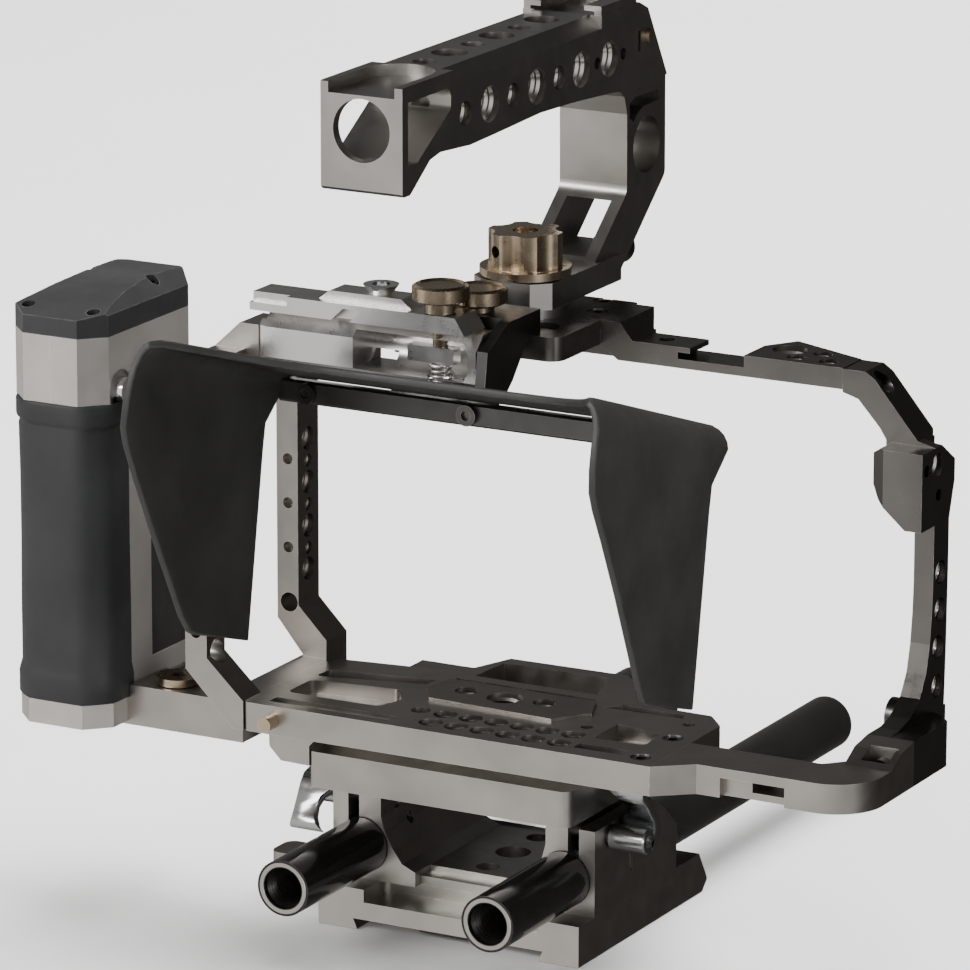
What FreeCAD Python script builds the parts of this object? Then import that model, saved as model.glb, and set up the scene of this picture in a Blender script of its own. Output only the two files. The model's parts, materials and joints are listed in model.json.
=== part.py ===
import FreeCAD, Part

import math
import os
import re

from FreeCAD import Placement, Rotation, Vector
from Sketcher import Constraint

# Cinema camera rig: a dovetail base with two rods, a quick-release receiver, an open camera cage,
# a top handle, a battery side handle, a drive clamp and a tilting sunhood.
#
# Frame: millimetres, +Z up, +X to the operator's right, -Y towards the operator.  The origin is
# the middle of the base plate's foot plane.

DIMENSIONS = {
    # base plate and rods
    "base_half": 38.7, "base_near": -36.5, "base_far": 33.0, "base_thick": 11.1,
    "foot_inner": 27.0, "channel_deep": 2.8, "riser_half": 14.1, "riser_top": 15.0,
    "rod_radius": 7.5, "rod_half_gap": 30.0, "rod_height": 20.5, "rod_near": -70.0,
    "rod_length": 200.0, "rod_bore": 5.1, "rod_thread": 5.6, "rod_thread_deep": 22.0,
    "clamp_near": -28.0, "clamp_far": 19.0, "clamp_out": 38.9, "clamp_top": 34.5,
    "slit_in": 31.0, "slit_out": 34.3, "lever_y": -19.0, "lever_z": 31.0,
    # quick release
    "receiver_half": 38.3, "receiver_near": -41.6, "receiver_far": 22.0,
    "receiver_low": 39.0, "receiver_top": 48.7,
    # cage
    "plate_low": 57.5, "plate_top": 65.3, "plate_near": -58.6, "plate_left": -48.2,
    "plate_right": 70.0, "pocket_deep": 3.6, "tap_quarter": 3.175, "tap_pitch": 7.44,
    "deck_low": 155.3, "deck_top": 161.7, "bar_low": 151.6, "bar_top": 157.2,
    "arm_near": 5.0, "arm_far": 16.0, "strut_pitch": 12.0,
    # top handle
    "grip_half": 11.6, "post_half": 10.0, "grip_top": 234.3, "knob_y": 6.0, "foot_low": 164.3,
    "foot_top": 171.3,
    # side handle
    "side_x": -103.4, "side_y": -35.8, "side_low": 51.5, "side_high": 157.0,
    "side_half_x": 14.2, "side_half_y": 26.2, "side_chamfer": 6.0, "wall": 2.0,
    # hood
    "hood_left": -36.0, "hood_right": 89.0, "hinge_y": -53.5, "hinge_z": 151.0,
    # running clearance between pieces that move on each other
    "fit": 0.05, "gap": 0.3,
}

doc = FreeCAD.newDocument("CinemaRig")
sheet = doc.addObject("Spreadsheet::Sheet", "Dims")
for row, (alias, value) in enumerate(DIMENSIONS.items(), start=1):
    sheet.set(f"A{row}", alias)
    sheet.set(f"B{row}", str(value))
    sheet.setAlias(f"B{row}", alias)
doc.recompute()

NODES = []


def full(expression):
    """The expression with every sheet alias written out as Dims.alias."""
    return re.sub(r"[A-Za-z_]+", lambda word: f"Dims.{word[0]}" if word[0] in DIMENSIONS else word[0],
                  str(expression))


def number(expression):
    """The present value of an expression."""
    return float(sheet.evalExpression(full(expression)))


def bind(thing, prop, expression):
    thing.setExpression(prop, full(expression))


def box(name, x, y, z):
    """A block given by its low and high value on each axis."""
    block = doc.addObject("Part::Box", name)
    for prop, axis, (low, high) in (("Length", "x", x), ("Width", "y", y), ("Height", "z", z)):
        bind(block, prop, f"({high}) - ({low})")
        bind(block, f"Placement.Base.{axis}", low)
    return block


TURNS = {"Z": Rotation(), "X": Rotation(Vector(0, 1, 0), 90), "Y": Rotation(Vector(1, 0, 0), -90)}


def rod(name, axis, start, radius, length):
    """A cylinder that starts at a point and runs along +X, +Y or +Z."""
    cylinder = doc.addObject("Part::Cylinder", name)
    cylinder.Placement = Placement(Vector(), TURNS[axis])
    bind(cylinder, "Radius", radius)
    bind(cylinder, "Height", length)
    for letter, place in zip("xyz", start):
        bind(cylinder, f"Placement.Base.{letter}", place)
    return cylinder


PLANES = {"XY": "XY_Plane", "XZ": "XZ_Plane", "YZ": "YZ_Plane"}


def prism(name, plane, outline, low, high, rounded=()):
    """A padded sketch.  outline holds the corners, rounded holds (corner number, radius) pairs."""
    body = doc.addObject("PartDesign::Body", name)
    sketch = body.newObject("Sketcher::SketchObject", f"{name}_sketch")
    base = next(item for item in body.Origin.OriginFeatures if item.Role == PLANES[plane])
    sketch.AttachmentSupport = [(base, "")]
    sketch.MapMode = "FlatFace"
    side = "-1 * " if plane == "XZ" else ""
    bind(sketch, "AttachmentOffset.Base.z", f"{side}({low})")
    corners = [Vector(number(a), number(b), 0) for a, b in outline]
    count = len(corners)
    for index, corner in enumerate(corners):
        sketch.addGeometry(Part.LineSegment(corner, corners[(index + 1) % count]), False)
    for index in range(count):
        sketch.addConstraint(Constraint("Coincident", index, 2, (index + 1) % count, 1))
    for index, (corner, texts) in enumerate(zip(corners, outline)):
        for kind, axis, value, text in (("DistanceX", -2, corner.x, texts[0]),
                                        ("DistanceY", -1, corner.y, texts[1])):
            if abs(value) < 1e-9:
                sketch.addConstraint(Constraint("PointOnObject", index, 1, axis))
                continue
            place = sketch.addConstraint(Constraint(kind, -1, 1, index, 1, value))
            bind(sketch, f"Constraints[{place}]", text)
    pad = body.newObject("PartDesign::Pad", f"{name}_pad")
    pad.Profile = sketch
    pad.Reversed = plane == "XZ"
    bind(pad, "Length", f"({high}) - ({low})")
    doc.recompute()
    for corner_number, radius in rounded:
        round_corner(body, plane, corners[corner_number], radius)
    return body


def round_corner(body, plane, corner, radius):
    """Fillet the edge of a pad that stands on one corner of its outline."""
    first, second = {"XY": (0, 1), "XZ": (0, 2), "YZ": (1, 2)}[plane]
    feature = body.Tip
    for index, edge in enumerate(feature.Shape.Edges, start=1):
        ends = [vertex.Point for vertex in edge.Vertexes]
        near = all(abs(point[first] - corner.x) < 1e-4 and abs(point[second] - corner.y) < 1e-4
                   for point in ends)
        if near and len(ends) == 2:
            fillet = body.newObject("PartDesign::Fillet", f"{body.Name}_round")
            fillet.Base = (feature, [f"Edge{index}"])
            fillet.Radius = radius
            doc.recompute()
            return
    raise ValueError(f"{body.Name}: no edge at {corner}")


def fuse(name, pieces):
    joined = doc.addObject("Part::MultiFuse", name)
    joined.Shapes = pieces
    joined.Refine = True
    return joined


def cut(name, base, tools):
    """A piece less its tools."""
    result = doc.addObject("Part::Cut", name)
    result.Base = base
    result.Tool = tools[0] if len(tools) == 1 else fuse(f"{name}_tools", tools)
    return result


def group(name, solids):
    """Identical small pieces kept in one node as separate solids."""
    compound = doc.addObject("Part::Compound", name)
    compound.Links = solids
    return compound


def node(name, shape):
    """Register the finished sub-part under its node name."""
    shape.Label = name
    NODES.append(shape)
    return shape


def drill(name, axis, start, radius, length, places):
    """Equal holes: places holds the offsets of each one from the start point."""
    holes = []
    for index, offset in enumerate(places):
        point = [f"({a}) + ({b})" for a, b in zip(start, offset)]
        holes.append(rod(f"{name}_{index}", axis, point, radius, length))
    return holes


def cap_screw(name, at, head_radius, head_high, shank_radius, shank_long, socket=0.5):
    """A socket head screw that stands with its head's top face at a point, shank down -Z."""
    x, y, top = at
    head = rod(f"{name}_head", "Z", (x, y, f"{top} - {head_high}"), head_radius, head_high)
    shank = rod(f"{name}_shank", "Z", (x, y, f"{top} - {head_high} - {shank_long}"), shank_radius,
                f"{shank_long} + 0.1")
    hex_socket = doc.addObject("Part::Prism", f"{name}_socket")
    hex_socket.Polygon = 6
    bind(hex_socket, "Circumradius", f"{head_radius} * {socket}")
    bind(hex_socket, "Height", f"{head_high} * 0.6 + 1")
    for letter, place in zip("xyz", (x, y, f"{top} - {head_high} * 0.6")):
        bind(hex_socket, f"Placement.Base.{letter}", place)
    return cut(name, fuse(f"{name}_blank", [head, shank]), [hex_socket])


# ---------------------------------------------------------------- base plate and rods

def base_plate():
    blank = prism("base_blank", "YZ", [("base_near", "0"), ("base_near", "base_thick"),
                                       ("base_far", "base_thick"), ("base_far + 5", "channel_deep"),
                                       ("base_far + 2", "0")], "-base_half", "base_half")
    channel = prism("base_channel", "XZ", [("-foot_inner + 0.4", "-1"),
                                           ("-foot_inner - 1.2", "channel_deep"),
                                           ("foot_inner + 1.2", "channel_deep"),
                                           ("foot_inner - 0.4", "-1")], "-45", "45")
    recess = prism("base_recess", "XY", [("-25", "base_near - 1"), ("27", "base_near - 1"),
                                         ("27", "base_near + 11.5"), ("-25", "base_near + 11.5")],
                   "base_thick - 3.5", "base_thick + 1", [(2, 2.0), (3, 2.0)])
    pocket = box("slider_pocket", ("-base_half - 1", "-27.5"), ("-19.3", "-8.7"), ("5.3", "9.9"))
    taps = drill("base_tap", "Z", ("0", "0", "0"), "tap_quarter", "20", [(0, -14, 0), (0, 14, 0)])
    centre = rod("base_centre", "Z", ("0", "0", "0"), "4.76", "20")
    boss = rod("base_boss", "Z", ("0", "0", "0"), "7.4", "channel_deep + 0.1")
    bossed = fuse("base_bossed", [cut("base_channelled", blank, [channel]), boss])
    return node("base_plate", cut("base_plate", bossed, [recess, pocket, centre] + taps))


def base_riser():
    block = box("riser_block", ("-riser_half", "riser_half"), ("base_near + 11.5", "clamp_far"),
                ("base_thick", "riser_top"))
    step = box("riser_step", ("-riser_half - 1", "riser_half + 1"), ("-26", "-20"),
               ("riser_top - 1.5", "riser_top + 1"))
    taps = drill("riser_tap", "Z", ("0", "0", "0"), "tap_quarter", "20", [(0, -14, 0), (0, 14, 0)])
    centre = rod("riser_centre", "Z", ("0", "0", "0"), "4.76", "20")
    return node("base_riser", cut("base_riser", block, [step, centre] + taps))


def base_pad():
    strip = box("pad_strip", ("-10.6", "10.6"), ("-32", "30"), ("0.5", "channel_deep"))
    holes = drill("pad_hole", "Z", ("0", "0", "0"), "5.2", "5", [(0, -14, 0), (0, 14, 0)])
    holes.append(rod("pad_boss_hole", "Z", ("0", "0", "0"), "7.7", "5"))
    return node("base_pad", cut("base_pad", strip, holes))


def base_lock_slider():
    stem = box("slider_stem", ("-52", "-30.8"), ("-19", "-9"), ("5.6", "9.6"))
    paddle = prism("slider_paddle", "XY", [("-63.5", "-19.5"), ("-43.5", "-19.5"), ("-43.5", "-8.5"),
                                           ("-63.5", "-8.5")], "6.2", "11", [(0, 3.0), (3, 3.0)])
    return node("base_lock_slider", fuse("base_lock_slider", [stem, paddle]))


def rod_clamp(side, sign):
    """One split clamp; sign is +1 for the right clamp and -1 for the left one."""
    outline = [("riser_half + 0.1", "base_thick"), ("clamp_out", "base_thick"),
               ("clamp_out", "clamp_top"), ("slit_out", "clamp_top"), ("slit_out", "24"),
               ("slit_in", "24"), ("slit_in", "receiver_low"), ("24.5", "receiver_low"),
               ("24.5", "29"), ("23.4", "25"), ("20.9", "20.5"), ("18.2", "16.8"),
               ("riser_half + 0.1", "riser_top")]
    outline = [(f"{sign} * ({x})", z) for x, z in outline]
    if sign < 0:
        outline.reverse()
    blank = prism(f"clamp_{side}_blank", "XZ", outline, "clamp_near", "clamp_far")
    bore = rod(f"clamp_{side}_bore", "Y", (f"{sign} * rod_half_gap", "clamp_near - 1", "rod_height"),
               "rod_radius + fit", "60")
    outer = sorted((sign * 34.2, sign * 40.0))
    corner = prism(f"clamp_{side}_corner", "YZ", [("4.4", "clamp_top + 0.1"), ("12", "30"),
                                                  ("clamp_far + 0.1", "23.4"),
                                                  ("clamp_far + 0.1", "clamp_top + 0.1")], *outer)
    relief_x = sorted((sign * 37.95, sign * 40.0))
    relief = box(f"clamp_{side}_relief", relief_x, ("-8.3", "-6.7"), ("18.2", "25.5"))
    bolt_x = min(sign * 24.0, sign * 40.0)
    bolt = rod(f"clamp_{side}_bolt", "X", (bolt_x, "lever_y", "lever_z"), "2.1", "16")
    windows = drill(f"clamp_{side}_window", "X", (min(sign * 17.0, sign * 24.6), "-14", "25.2"), "1.7",
                    "7.6", [(0, 0, 0), (0, 17, 0)])
    screws = drill(f"clamp_{side}_screw", "Z", (f"{sign} * 27.75", "-10", "31.9"), "1.65", "10",
                   [(0, 0, 0), (0, 22, 0)])
    tools = [bore, corner, relief, bolt] + windows + screws
    return node(f"rod_clamp_{side}", cut(f"rod_clamp_{side}", blank, tools))


def support_rod(side, sign):
    at = (f"{sign} * rod_half_gap", "rod_near", "rod_height")
    outer = rod(f"rod_{side}_outer", "Y", at, "rod_radius", "rod_length")
    bore = rod(f"rod_{side}_bore", "Y", at, "rod_bore", "rod_length")
    near = rod(f"rod_{side}_near", "Y", at, "rod_thread", "rod_thread_deep")
    far = rod(f"rod_{side}_far", "Y", (at[0], "rod_near + rod_length - rod_thread_deep", at[2]),
              "rod_thread", "rod_thread_deep")
    tools = [bore, near, far]
    for place, at_y in (("near", "clamp_near - 0.6"), ("far", "clamp_far")):
        ring = rod(f"rod_{side}_{place}_ring", "Y", (at[0], at_y, at[2]), "rod_radius + 1", "0.6")
        core = rod(f"rod_{side}_{place}_core", "Y", (at[0], f"{at_y} - 1", at[2]), "rod_radius - 0.3", "2.6")
        tools.append(cut(f"rod_{side}_{place}_groove", ring, [core]))
    return node(f"rod_{side}", cut(f"rod_{side}", outer, tools))


def clamp_lever(side, sign):
    """A rod clamp lever, drawn hanging from its pivot and then turned to where it rests."""
    def along(name, low, high, radius):
        start = min(sign * low, sign * high)
        return rod(f"lever_{side}_{name}", "X", (start, "0", "0"), radius, high - low)
    bolt = along("bolt", 25.0, 39.4, "2.0")
    hub = along("hub", 39.3, 50.0, "3.4")
    wing = prism(f"lever_{side}_wing", "YZ", [("-1", "3.2"), ("-4.2", "3.4"), ("-6.4", "0.8"), ("-7.4", "-2.2"),
                                              ("-6.6", "-4.8"), ("-4.4", "-7.4"), ("-2.4", "-10.2"),
                                              ("-1.8", "-13"), ("-0.6", "-14.6"), ("1.1", "-14.8"),
                                              ("2.2", "-13.8"), ("2.1", "-12.4"), ("0.8", "-10.4"),
                                              ("-1.2", "-7.2"), ("-3.2", "-4.4"), ("-4", "-2.4"),
                                              ("-3", "-0.4"), ("-1", "0")],
                 *sorted((sign * 39.3, sign * 50.0)))
    notch = rod(f"lever_{side}_notch", "Y", (sign * 38.0, "-20", "-9.5"), "5.4", "40")
    shape = cut(f"lever_{side}_cut", fuse(f"lever_{side}_blank", [bolt, hub, wing]), [notch])
    lever = group(f"rod_lever_{side}", [shape])
    turn = -61 if sign < 0 else -169
    lever.Placement = Placement(Vector(0, -19, 31), Rotation(Vector(1, 0, 0), turn))
    return node(f"rod_lever_{side}", lever)


# ---------------------------------------------------------------- quick release

def qr_receiver():
    block = prism("receiver_block", "XY", [("-receiver_half", "receiver_near"),
                                           ("receiver_half", "receiver_near"),
                                           ("receiver_half", "receiver_far"),
                                           ("-receiver_half", "receiver_far")],
                  "receiver_low", "receiver_top", [(0, 1.2), (1, 3.0)])
    window = box("receiver_window", ("-12", "12"), ("-12", "12"), ("receiver_low - 1", "receiver_top + 1"))
    tools = [window]
    for sign in (-1, 1):
        tools += drill(f"receiver_hole_{sign + 1}", "Z", (sign * 27.75, "-10", "receiver_low - 1"),
                       "1.65", "12", [(0, 0, 0), (0, 22, 0)])
        tools += drill(f"receiver_seat_{sign + 1}", "Z", (sign * 27.75, "-10", "receiver_top - 3.4"),
                       "3.05", "5", [(0, 0, 0), (0, 22, 0)])
    return node("qr_receiver", cut("qr_receiver", block, tools))


def receiver_screws():
    screws = [cap_screw(f"receiver_screw_{i}", (x, y, "receiver_top - 0.3"), 2.9, 3.0, 1.6, 12.8)
              for i, (x, y) in enumerate([(-27.75, -10), (-27.75, 12), (27.75, -10), (27.75, 12)])]
    return node("receiver_screws", group("receiver_screws", screws))


def qr_jaw_left():
    jaw = prism("jaw_left_blank", "XZ", [("-receiver_half", "44.6"), ("-receiver_half", "50"),
                                         ("-36.7", "51.6"), ("-36.7", "52.8"), ("-51", "52.8"),
                                         ("-51", "49"), ("-46.8", "44.8")],
                "receiver_near", "-4")
    corner = prism("jaw_left_corner", "XY", [("-52", "receiver_near - 1"), ("-49.5", "receiver_near - 1"),
                                             ("-52", "receiver_near + 2.5")], "44", "54")
    bolts = drill("jaw_left_bolt", "X", ("-52", "-34", "47.4"), "1.8", "9", [(0, 0, 0), (0, 22, 0)])
    return node("qr_jaw_left", cut("qr_jaw_left", jaw, [corner] + bolts))


def qr_rail_right():
    rail = prism("rail_right", "XZ", [("receiver_half", "44.6"), ("43.5", "44.6"), ("43.5", "52.8"),
                                      ("36.7", "52.8"), ("36.7", "51.6"), ("receiver_half", "50")],
                 "-20", "receiver_far")
    return node("qr_rail_right", rail)


def qr_jaw_bolts():
    bolts = [rod(f"jaw_bolt_{i}", "X", ("-50.6", y, "47.4"), "1.75", "7.4") for i, y in enumerate((-34, -12))]
    return node("qr_jaw_bolts", group("qr_jaw_bolts", bolts))


def qr_plate():
    section = [("-38", "48.95"), ("38", "48.95"), ("38", "49.8"), ("36.3", "51.5"), ("36.3", "53.2"),
               ("38.4", "53.2"), ("38.4", "plate_low"), ("-38.4", "plate_low"), ("-38.4", "53.2"),
               ("-36.3", "53.2"), ("-36.3", "51.5"), ("-38", "49.8")]
    plate = prism("qr_plate_blank", "XZ", section, "-33", "20")
    tools = drill("qr_plate_hole", "Z", ("-20", "-20", "45"), "3.4", "6.6",
                  [(0, 0, 0), (40, 0, 0), (0, 26, 0), (40, 26, 0)])
    tools += drill("qr_plate_shank", "Z", ("-20", "-20", "51"), "1.65", "8",
                   [(0, 0, 0), (40, 0, 0), (0, 26, 0), (40, 26, 0)])
    return node("qr_plate", cut("qr_plate", plate, tools))


# ---------------------------------------------------------------- cage

def cage_bottom_plate():
    outline = [("plate_left", "plate_near"), ("plate_right", "plate_near"),
               ("plate_right", "-18.7"), ("64.3", "-12"), ("41.9", "-11.4"), ("33", "6"),
               ("28.5", "10"), ("-5.7", "9.2"), ("-12", "-8"), ("-45.9", "-12.8"),
               ("plate_left", "-16")]
    blank = prism("plate_blank", "XY", outline, "plate_low", "plate_top", [(0, 1.5)])
    floor, above = "plate_top - pocket_deep", "plate_top + 1"
    tools = [
        prism("plate_window", "XY", [("-6.6", "-9.4"), ("30", "-9.4"), ("25.4", "5.4"), ("-5.2", "4.6")],
              "plate_low - 1", above),
        box("plate_groove", ("-9.5", "31.5"), ("-15.6", "-13.4"), ("plate_top - 2", above)),
        prism("plate_key_seat", "XY", key_outline("0.05"), "plate_top - 2", above),
        box("plate_slot_near", ("-42.5", "-6.5"), ("-55", "-51"), ("plate_top - 1.9", above)),
        prism("plate_pocket_left", "XY", [("-42.5", "-45.5"), ("-15.5", "-45.5"), ("-12.8", "-37.4"),
                                          ("-18", "-29.8"), ("-42.5", "-33")], floor, above,
              [(0, 2.0), (1, 2.0), (3, 2.0), (4, 2.0)]),
        prism("plate_slot_far", "XY", [("-43.5", "-29.6"), ("-14", "-22.4"), ("-13.4", "-17.2"),
                                       ("-42.6", "-22.8")], floor, above, [(0, 1.5), (3, 1.5)]),
        prism("plate_pocket_right", "XY", [("46.1", "-43.8"), ("60.7", "-42.7"), ("59.7", "-32.2"),
                                           ("46.3", "-29.8")], floor, above, [(0, 1.5), (1, 1.5)]),
        box("plate_opening", ("51.5", "58"), ("-40", "-34.4"), ("plate_low - 1", above)),
        box("plate_slot_right", ("45.4", "59"), ("-53", "-49"), (floor, above)),
        prism("plate_slot_edge", "XY", [("36", "-18.6"), ("58.8", "-17.6"), ("58", "-14.6"),
                                        ("39.5", "-14.2")], floor, above),
        rod("plate_pin_hole", "Y", ("-39.5", "plate_near - 1", "61.2"), "2.0", "16"),
    ]
    grid = [(7.44 * column, row, 0) for row in (-51.4, -43.5) for column in range(6)]
    tools += drill("plate_tap", "Z", ("3.4", "0", "plate_low - 1"), "tap_quarter", "10", grid)
    tools += drill("plate_hole", "Z", ("0", "0", "plate_low - 1"), "1.65", "10",
                   [(64.4, -52.2, 0), (64.2, -33.9, 0), (62.5, -21.5, 0), (40.5, -35.9, 0)])
    tools += [rod("plate_relief", "Z", ("-4", "-43.2", "plate_low - 1"), "2.6", "10"),
              rod("plate_key_big", "Z", ("11.1", "-25.6", "plate_low - 1"), "5.0", "10")]
    tools += drill("plate_key", "Z", ("-0.6", "-24.6", "plate_low - 1"), "3.4", "10", [(0, 0, 0), (22.9, 0, 0)])
    tools += drill("plate_dowel", "X", ("plate_right - 9", "-45", "61.4"), "1.6", "10", [(0, 0, 0), (0, 6.5, 0)])
    tools += drill("plate_base_tap", "Z", ("-20", "-20", "plate_low - 1"), "1.6", "5.2",
                   [(0, 0, 0), (40, 0, 0)])
    tools += drill("plate_seat", "Z", ("64.4", "0", "plate_top - 3.2"), "2.85", "5",
                   [(0, -52.2, 0), (-0.2, -33.9, 0)])
    return node("cage_bottom_plate", cut("cage_bottom_plate", blank, tools))


def key_outline(clear):
    """The six-sided key plate's outline, grown by a clearance."""
    return [(f"-11.3 - {clear}", "-26.8"), (f"-6.4 - {clear}", f"-34.6 - {clear}"),
            (f"30.4 + {clear}", f"-36.4 - {clear}"), (f"37.2 + {clear}", "-26.8"),
            (f"33.4 + {clear}", f"-17 + {clear}"), (f"-9.5 - {clear}", f"-17 + {clear}")]


def camera_key_plate():
    blank = prism("key_blank", "XY", key_outline("0"), "plate_top - 2", "plate_top + 0.8")
    holes = [rod("key_tap_big", "Z", ("11.1", "-25.6", "plate_low"), "4.76", "10")]
    holes += drill("key_tap", "Z", ("-0.6", "-24.6", "plate_low"), "tap_quarter", "10",
                   [(0, 0, 0), (22.9, 0, 0)])
    return node("camera_key_plate", cut("camera_key_plate", blank, holes))


def cage_left_frame():
    rail = box("left_rail", ("-56", "plate_left"), ("-49.3", "-13"), ("plate_low", "plate_top"))
    rear = prism("left_rear_strut", "XZ", [("plate_left", "plate_low"), ("-51.2", "plate_low"),
                                           ("-65.4", "71.8"), ("-65.4", "154.8"), ("-59", "154.8"),
                                           ("-59", "75.4"), ("plate_left", "plate_top")],
                 "plate_near", "-49.3")
    front = prism("left_front_strut", "XZ", [("-55.4", "plate_low"), ("plate_left", "plate_low"),
                                             ("plate_left", "70.5"), ("-56.6", "79"),
                                             ("-56.6", "154.8"), ("-63", "154.8"), ("-63", "75"),
                                             ("-55.4", "65.8")], "-15", "-4")
    top = box("left_top_rail", ("-65.4", "-56.6"), ("plate_near", "-4"), ("149", "154.8"))
    arm = prism("left_arm", "XZ", [("-65.4", "149"), ("-65.4", "154.8"), ("-58", "deck_top"),
                                   ("-52.4", "deck_top"), ("-52.4", "152"), ("-56.6", "149")],
                "-42", "-30")
    tools = drill("left_tap", "X", ("-70", "-9.5", "87.9"), "tap_quarter", "15",
                  [(0, 0, 0), (0, 0, 11.9), (0, 0, 23.8), (0, 0, 35.7)])
    tools += drill("left_hole", "X", ("-70", "-9.5", "93.6"), "1.8", "15",
                   [(0, 0, 0), (0, 0, 12), (0, 0, 23.9)])
    tools += drill("left_face_hole", "Y", ("-59.6", "-16", "94.7"), "1.5", "4",
                   [(0, 0, 0), (0, 0, 12.1), (0, 0, 24.1)])
    tools += [rod("left_face_tap", "Y", ("-59.4", "-16", "79.6"), "2.6", "14"),
              rod("left_rear_hole", "Y", ("-62.3", "-60", "82"), "1.6", "12"),
              rod("left_rear_tap", "X", ("-70", "-53.6", "76.4"), "tap_quarter", "15"),
              rod("left_arm_hole", "X", ("-70", "-35", "156.5"), "1.3", "20"),
              rod("left_arm_seat", "X", ("-70", "-35", "156.5"), "2.75", "11")]
    tools += drill("left_rail_pin", "X", ("-57", "-43", "59.5"), "1.3", "7", [(0, 0, 0), (0, 8, 0)])
    blank = fuse("left_blank", [rail, rear, front, top, arm])
    return node("cage_left_frame", cut("cage_left_frame", blank, tools))


def cage_top_plate():
    outline = [("22.6", "-18.6"), ("22.6", "27"), ("-20", "27"), ("-20", "-28"), ("6.8", "-28"),
               ("6.8", "-18.6")]
    blank = prism("deck_blank", "XY", outline, "deck_low", "deck_top", [(0, 4.0), (1, 1.5)])
    low = "deck_low - 1"
    tools = [rod("deck_tap_big", "Z", ("12.6", "-8.6", low), "4.76", "9"),
             rod("deck_centre", "Z", ("0", "knob_y", low), "3.3", "9"),
             rod("deck_bracket_screw", "Z", ("2", "-23", low), "2.05", "9")]
    tools += drill("deck_tap", "Z", ("-12.5", "0", low), "tap_quarter", "9", [(0, 14, 0), (0, 0, 0)])
    tools += drill("deck_screw", "Z", ("17.4", "13.5", low), "1.65", "9", [(0, 0, 0), (-4, 11, 0)])
    tools += drill("deck_seat", "Z", ("17.4", "13.5", "deck_top - 3.2"), "2.85", "5", [(0, 0, 0), (-4, 11, 0)])
    return node("cage_top_plate", cut("cage_top_plate", blank, tools))


def cage_top_bar():
    bar = prism("bar_blank", "XZ", [("22.6", "deck_low"), ("27.7", "bar_low"), ("92", "bar_low"),
                                    ("92", "bar_top"), ("65", "bar_top"), ("65", "154"),
                                    ("45", "154"), ("45", "155.8"), ("48.5", "155.8"),
                                    ("48.5", "bar_top"), ("31.8", "bar_top"), ("28.2", "deck_top"),
                                    ("22.6", "deck_top")], "arm_near", "arm_far")
    head = box("bar_head", ("22.6", "28"), ("arm_near", "25"), ("deck_low - 1", "deck_top"))
    tongue = box("bar_tongue", ("8", "27.8"), ("arm_near + 3.4", "26.6"), ("bar_low", "deck_low"))
    wing = prism("bar_wing", "XY", [("64", "arm_near"), ("92", "arm_near"), ("92", "arm_far"),
                                    ("69.5", "25.6"), ("64", "arm_far + 1")], "bar_low", "bar_top")
    tools = [rod("bar_hole", "Z", ("38.9", "10.8", "150"), "2.1", "10"),
             rod("bar_tap_big", "Z", ("71.8", "16.4", "150"), "4.76", "10"),
             rod("bar_joint", "X", ("88.8", "8.7", "153.8"), "1.3", "4")]
    tools += drill("bar_tap", "Z", ("76.7", "9.6", "150"), "2.6", "10", [(0, 0, 0), (4.6, 6.4, 0), (9.2, 0, 0)])
    tools += drill("bar_screw", "Z", ("17.4", "13.5", "150"), "1.65", "6", [(0, 0, 0), (-4, 11, 0)])
    blank = fuse("bar_body", [bar, head, tongue, wing])
    return node("cage_top_bar", cut("cage_top_bar", blank, tools))


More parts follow.
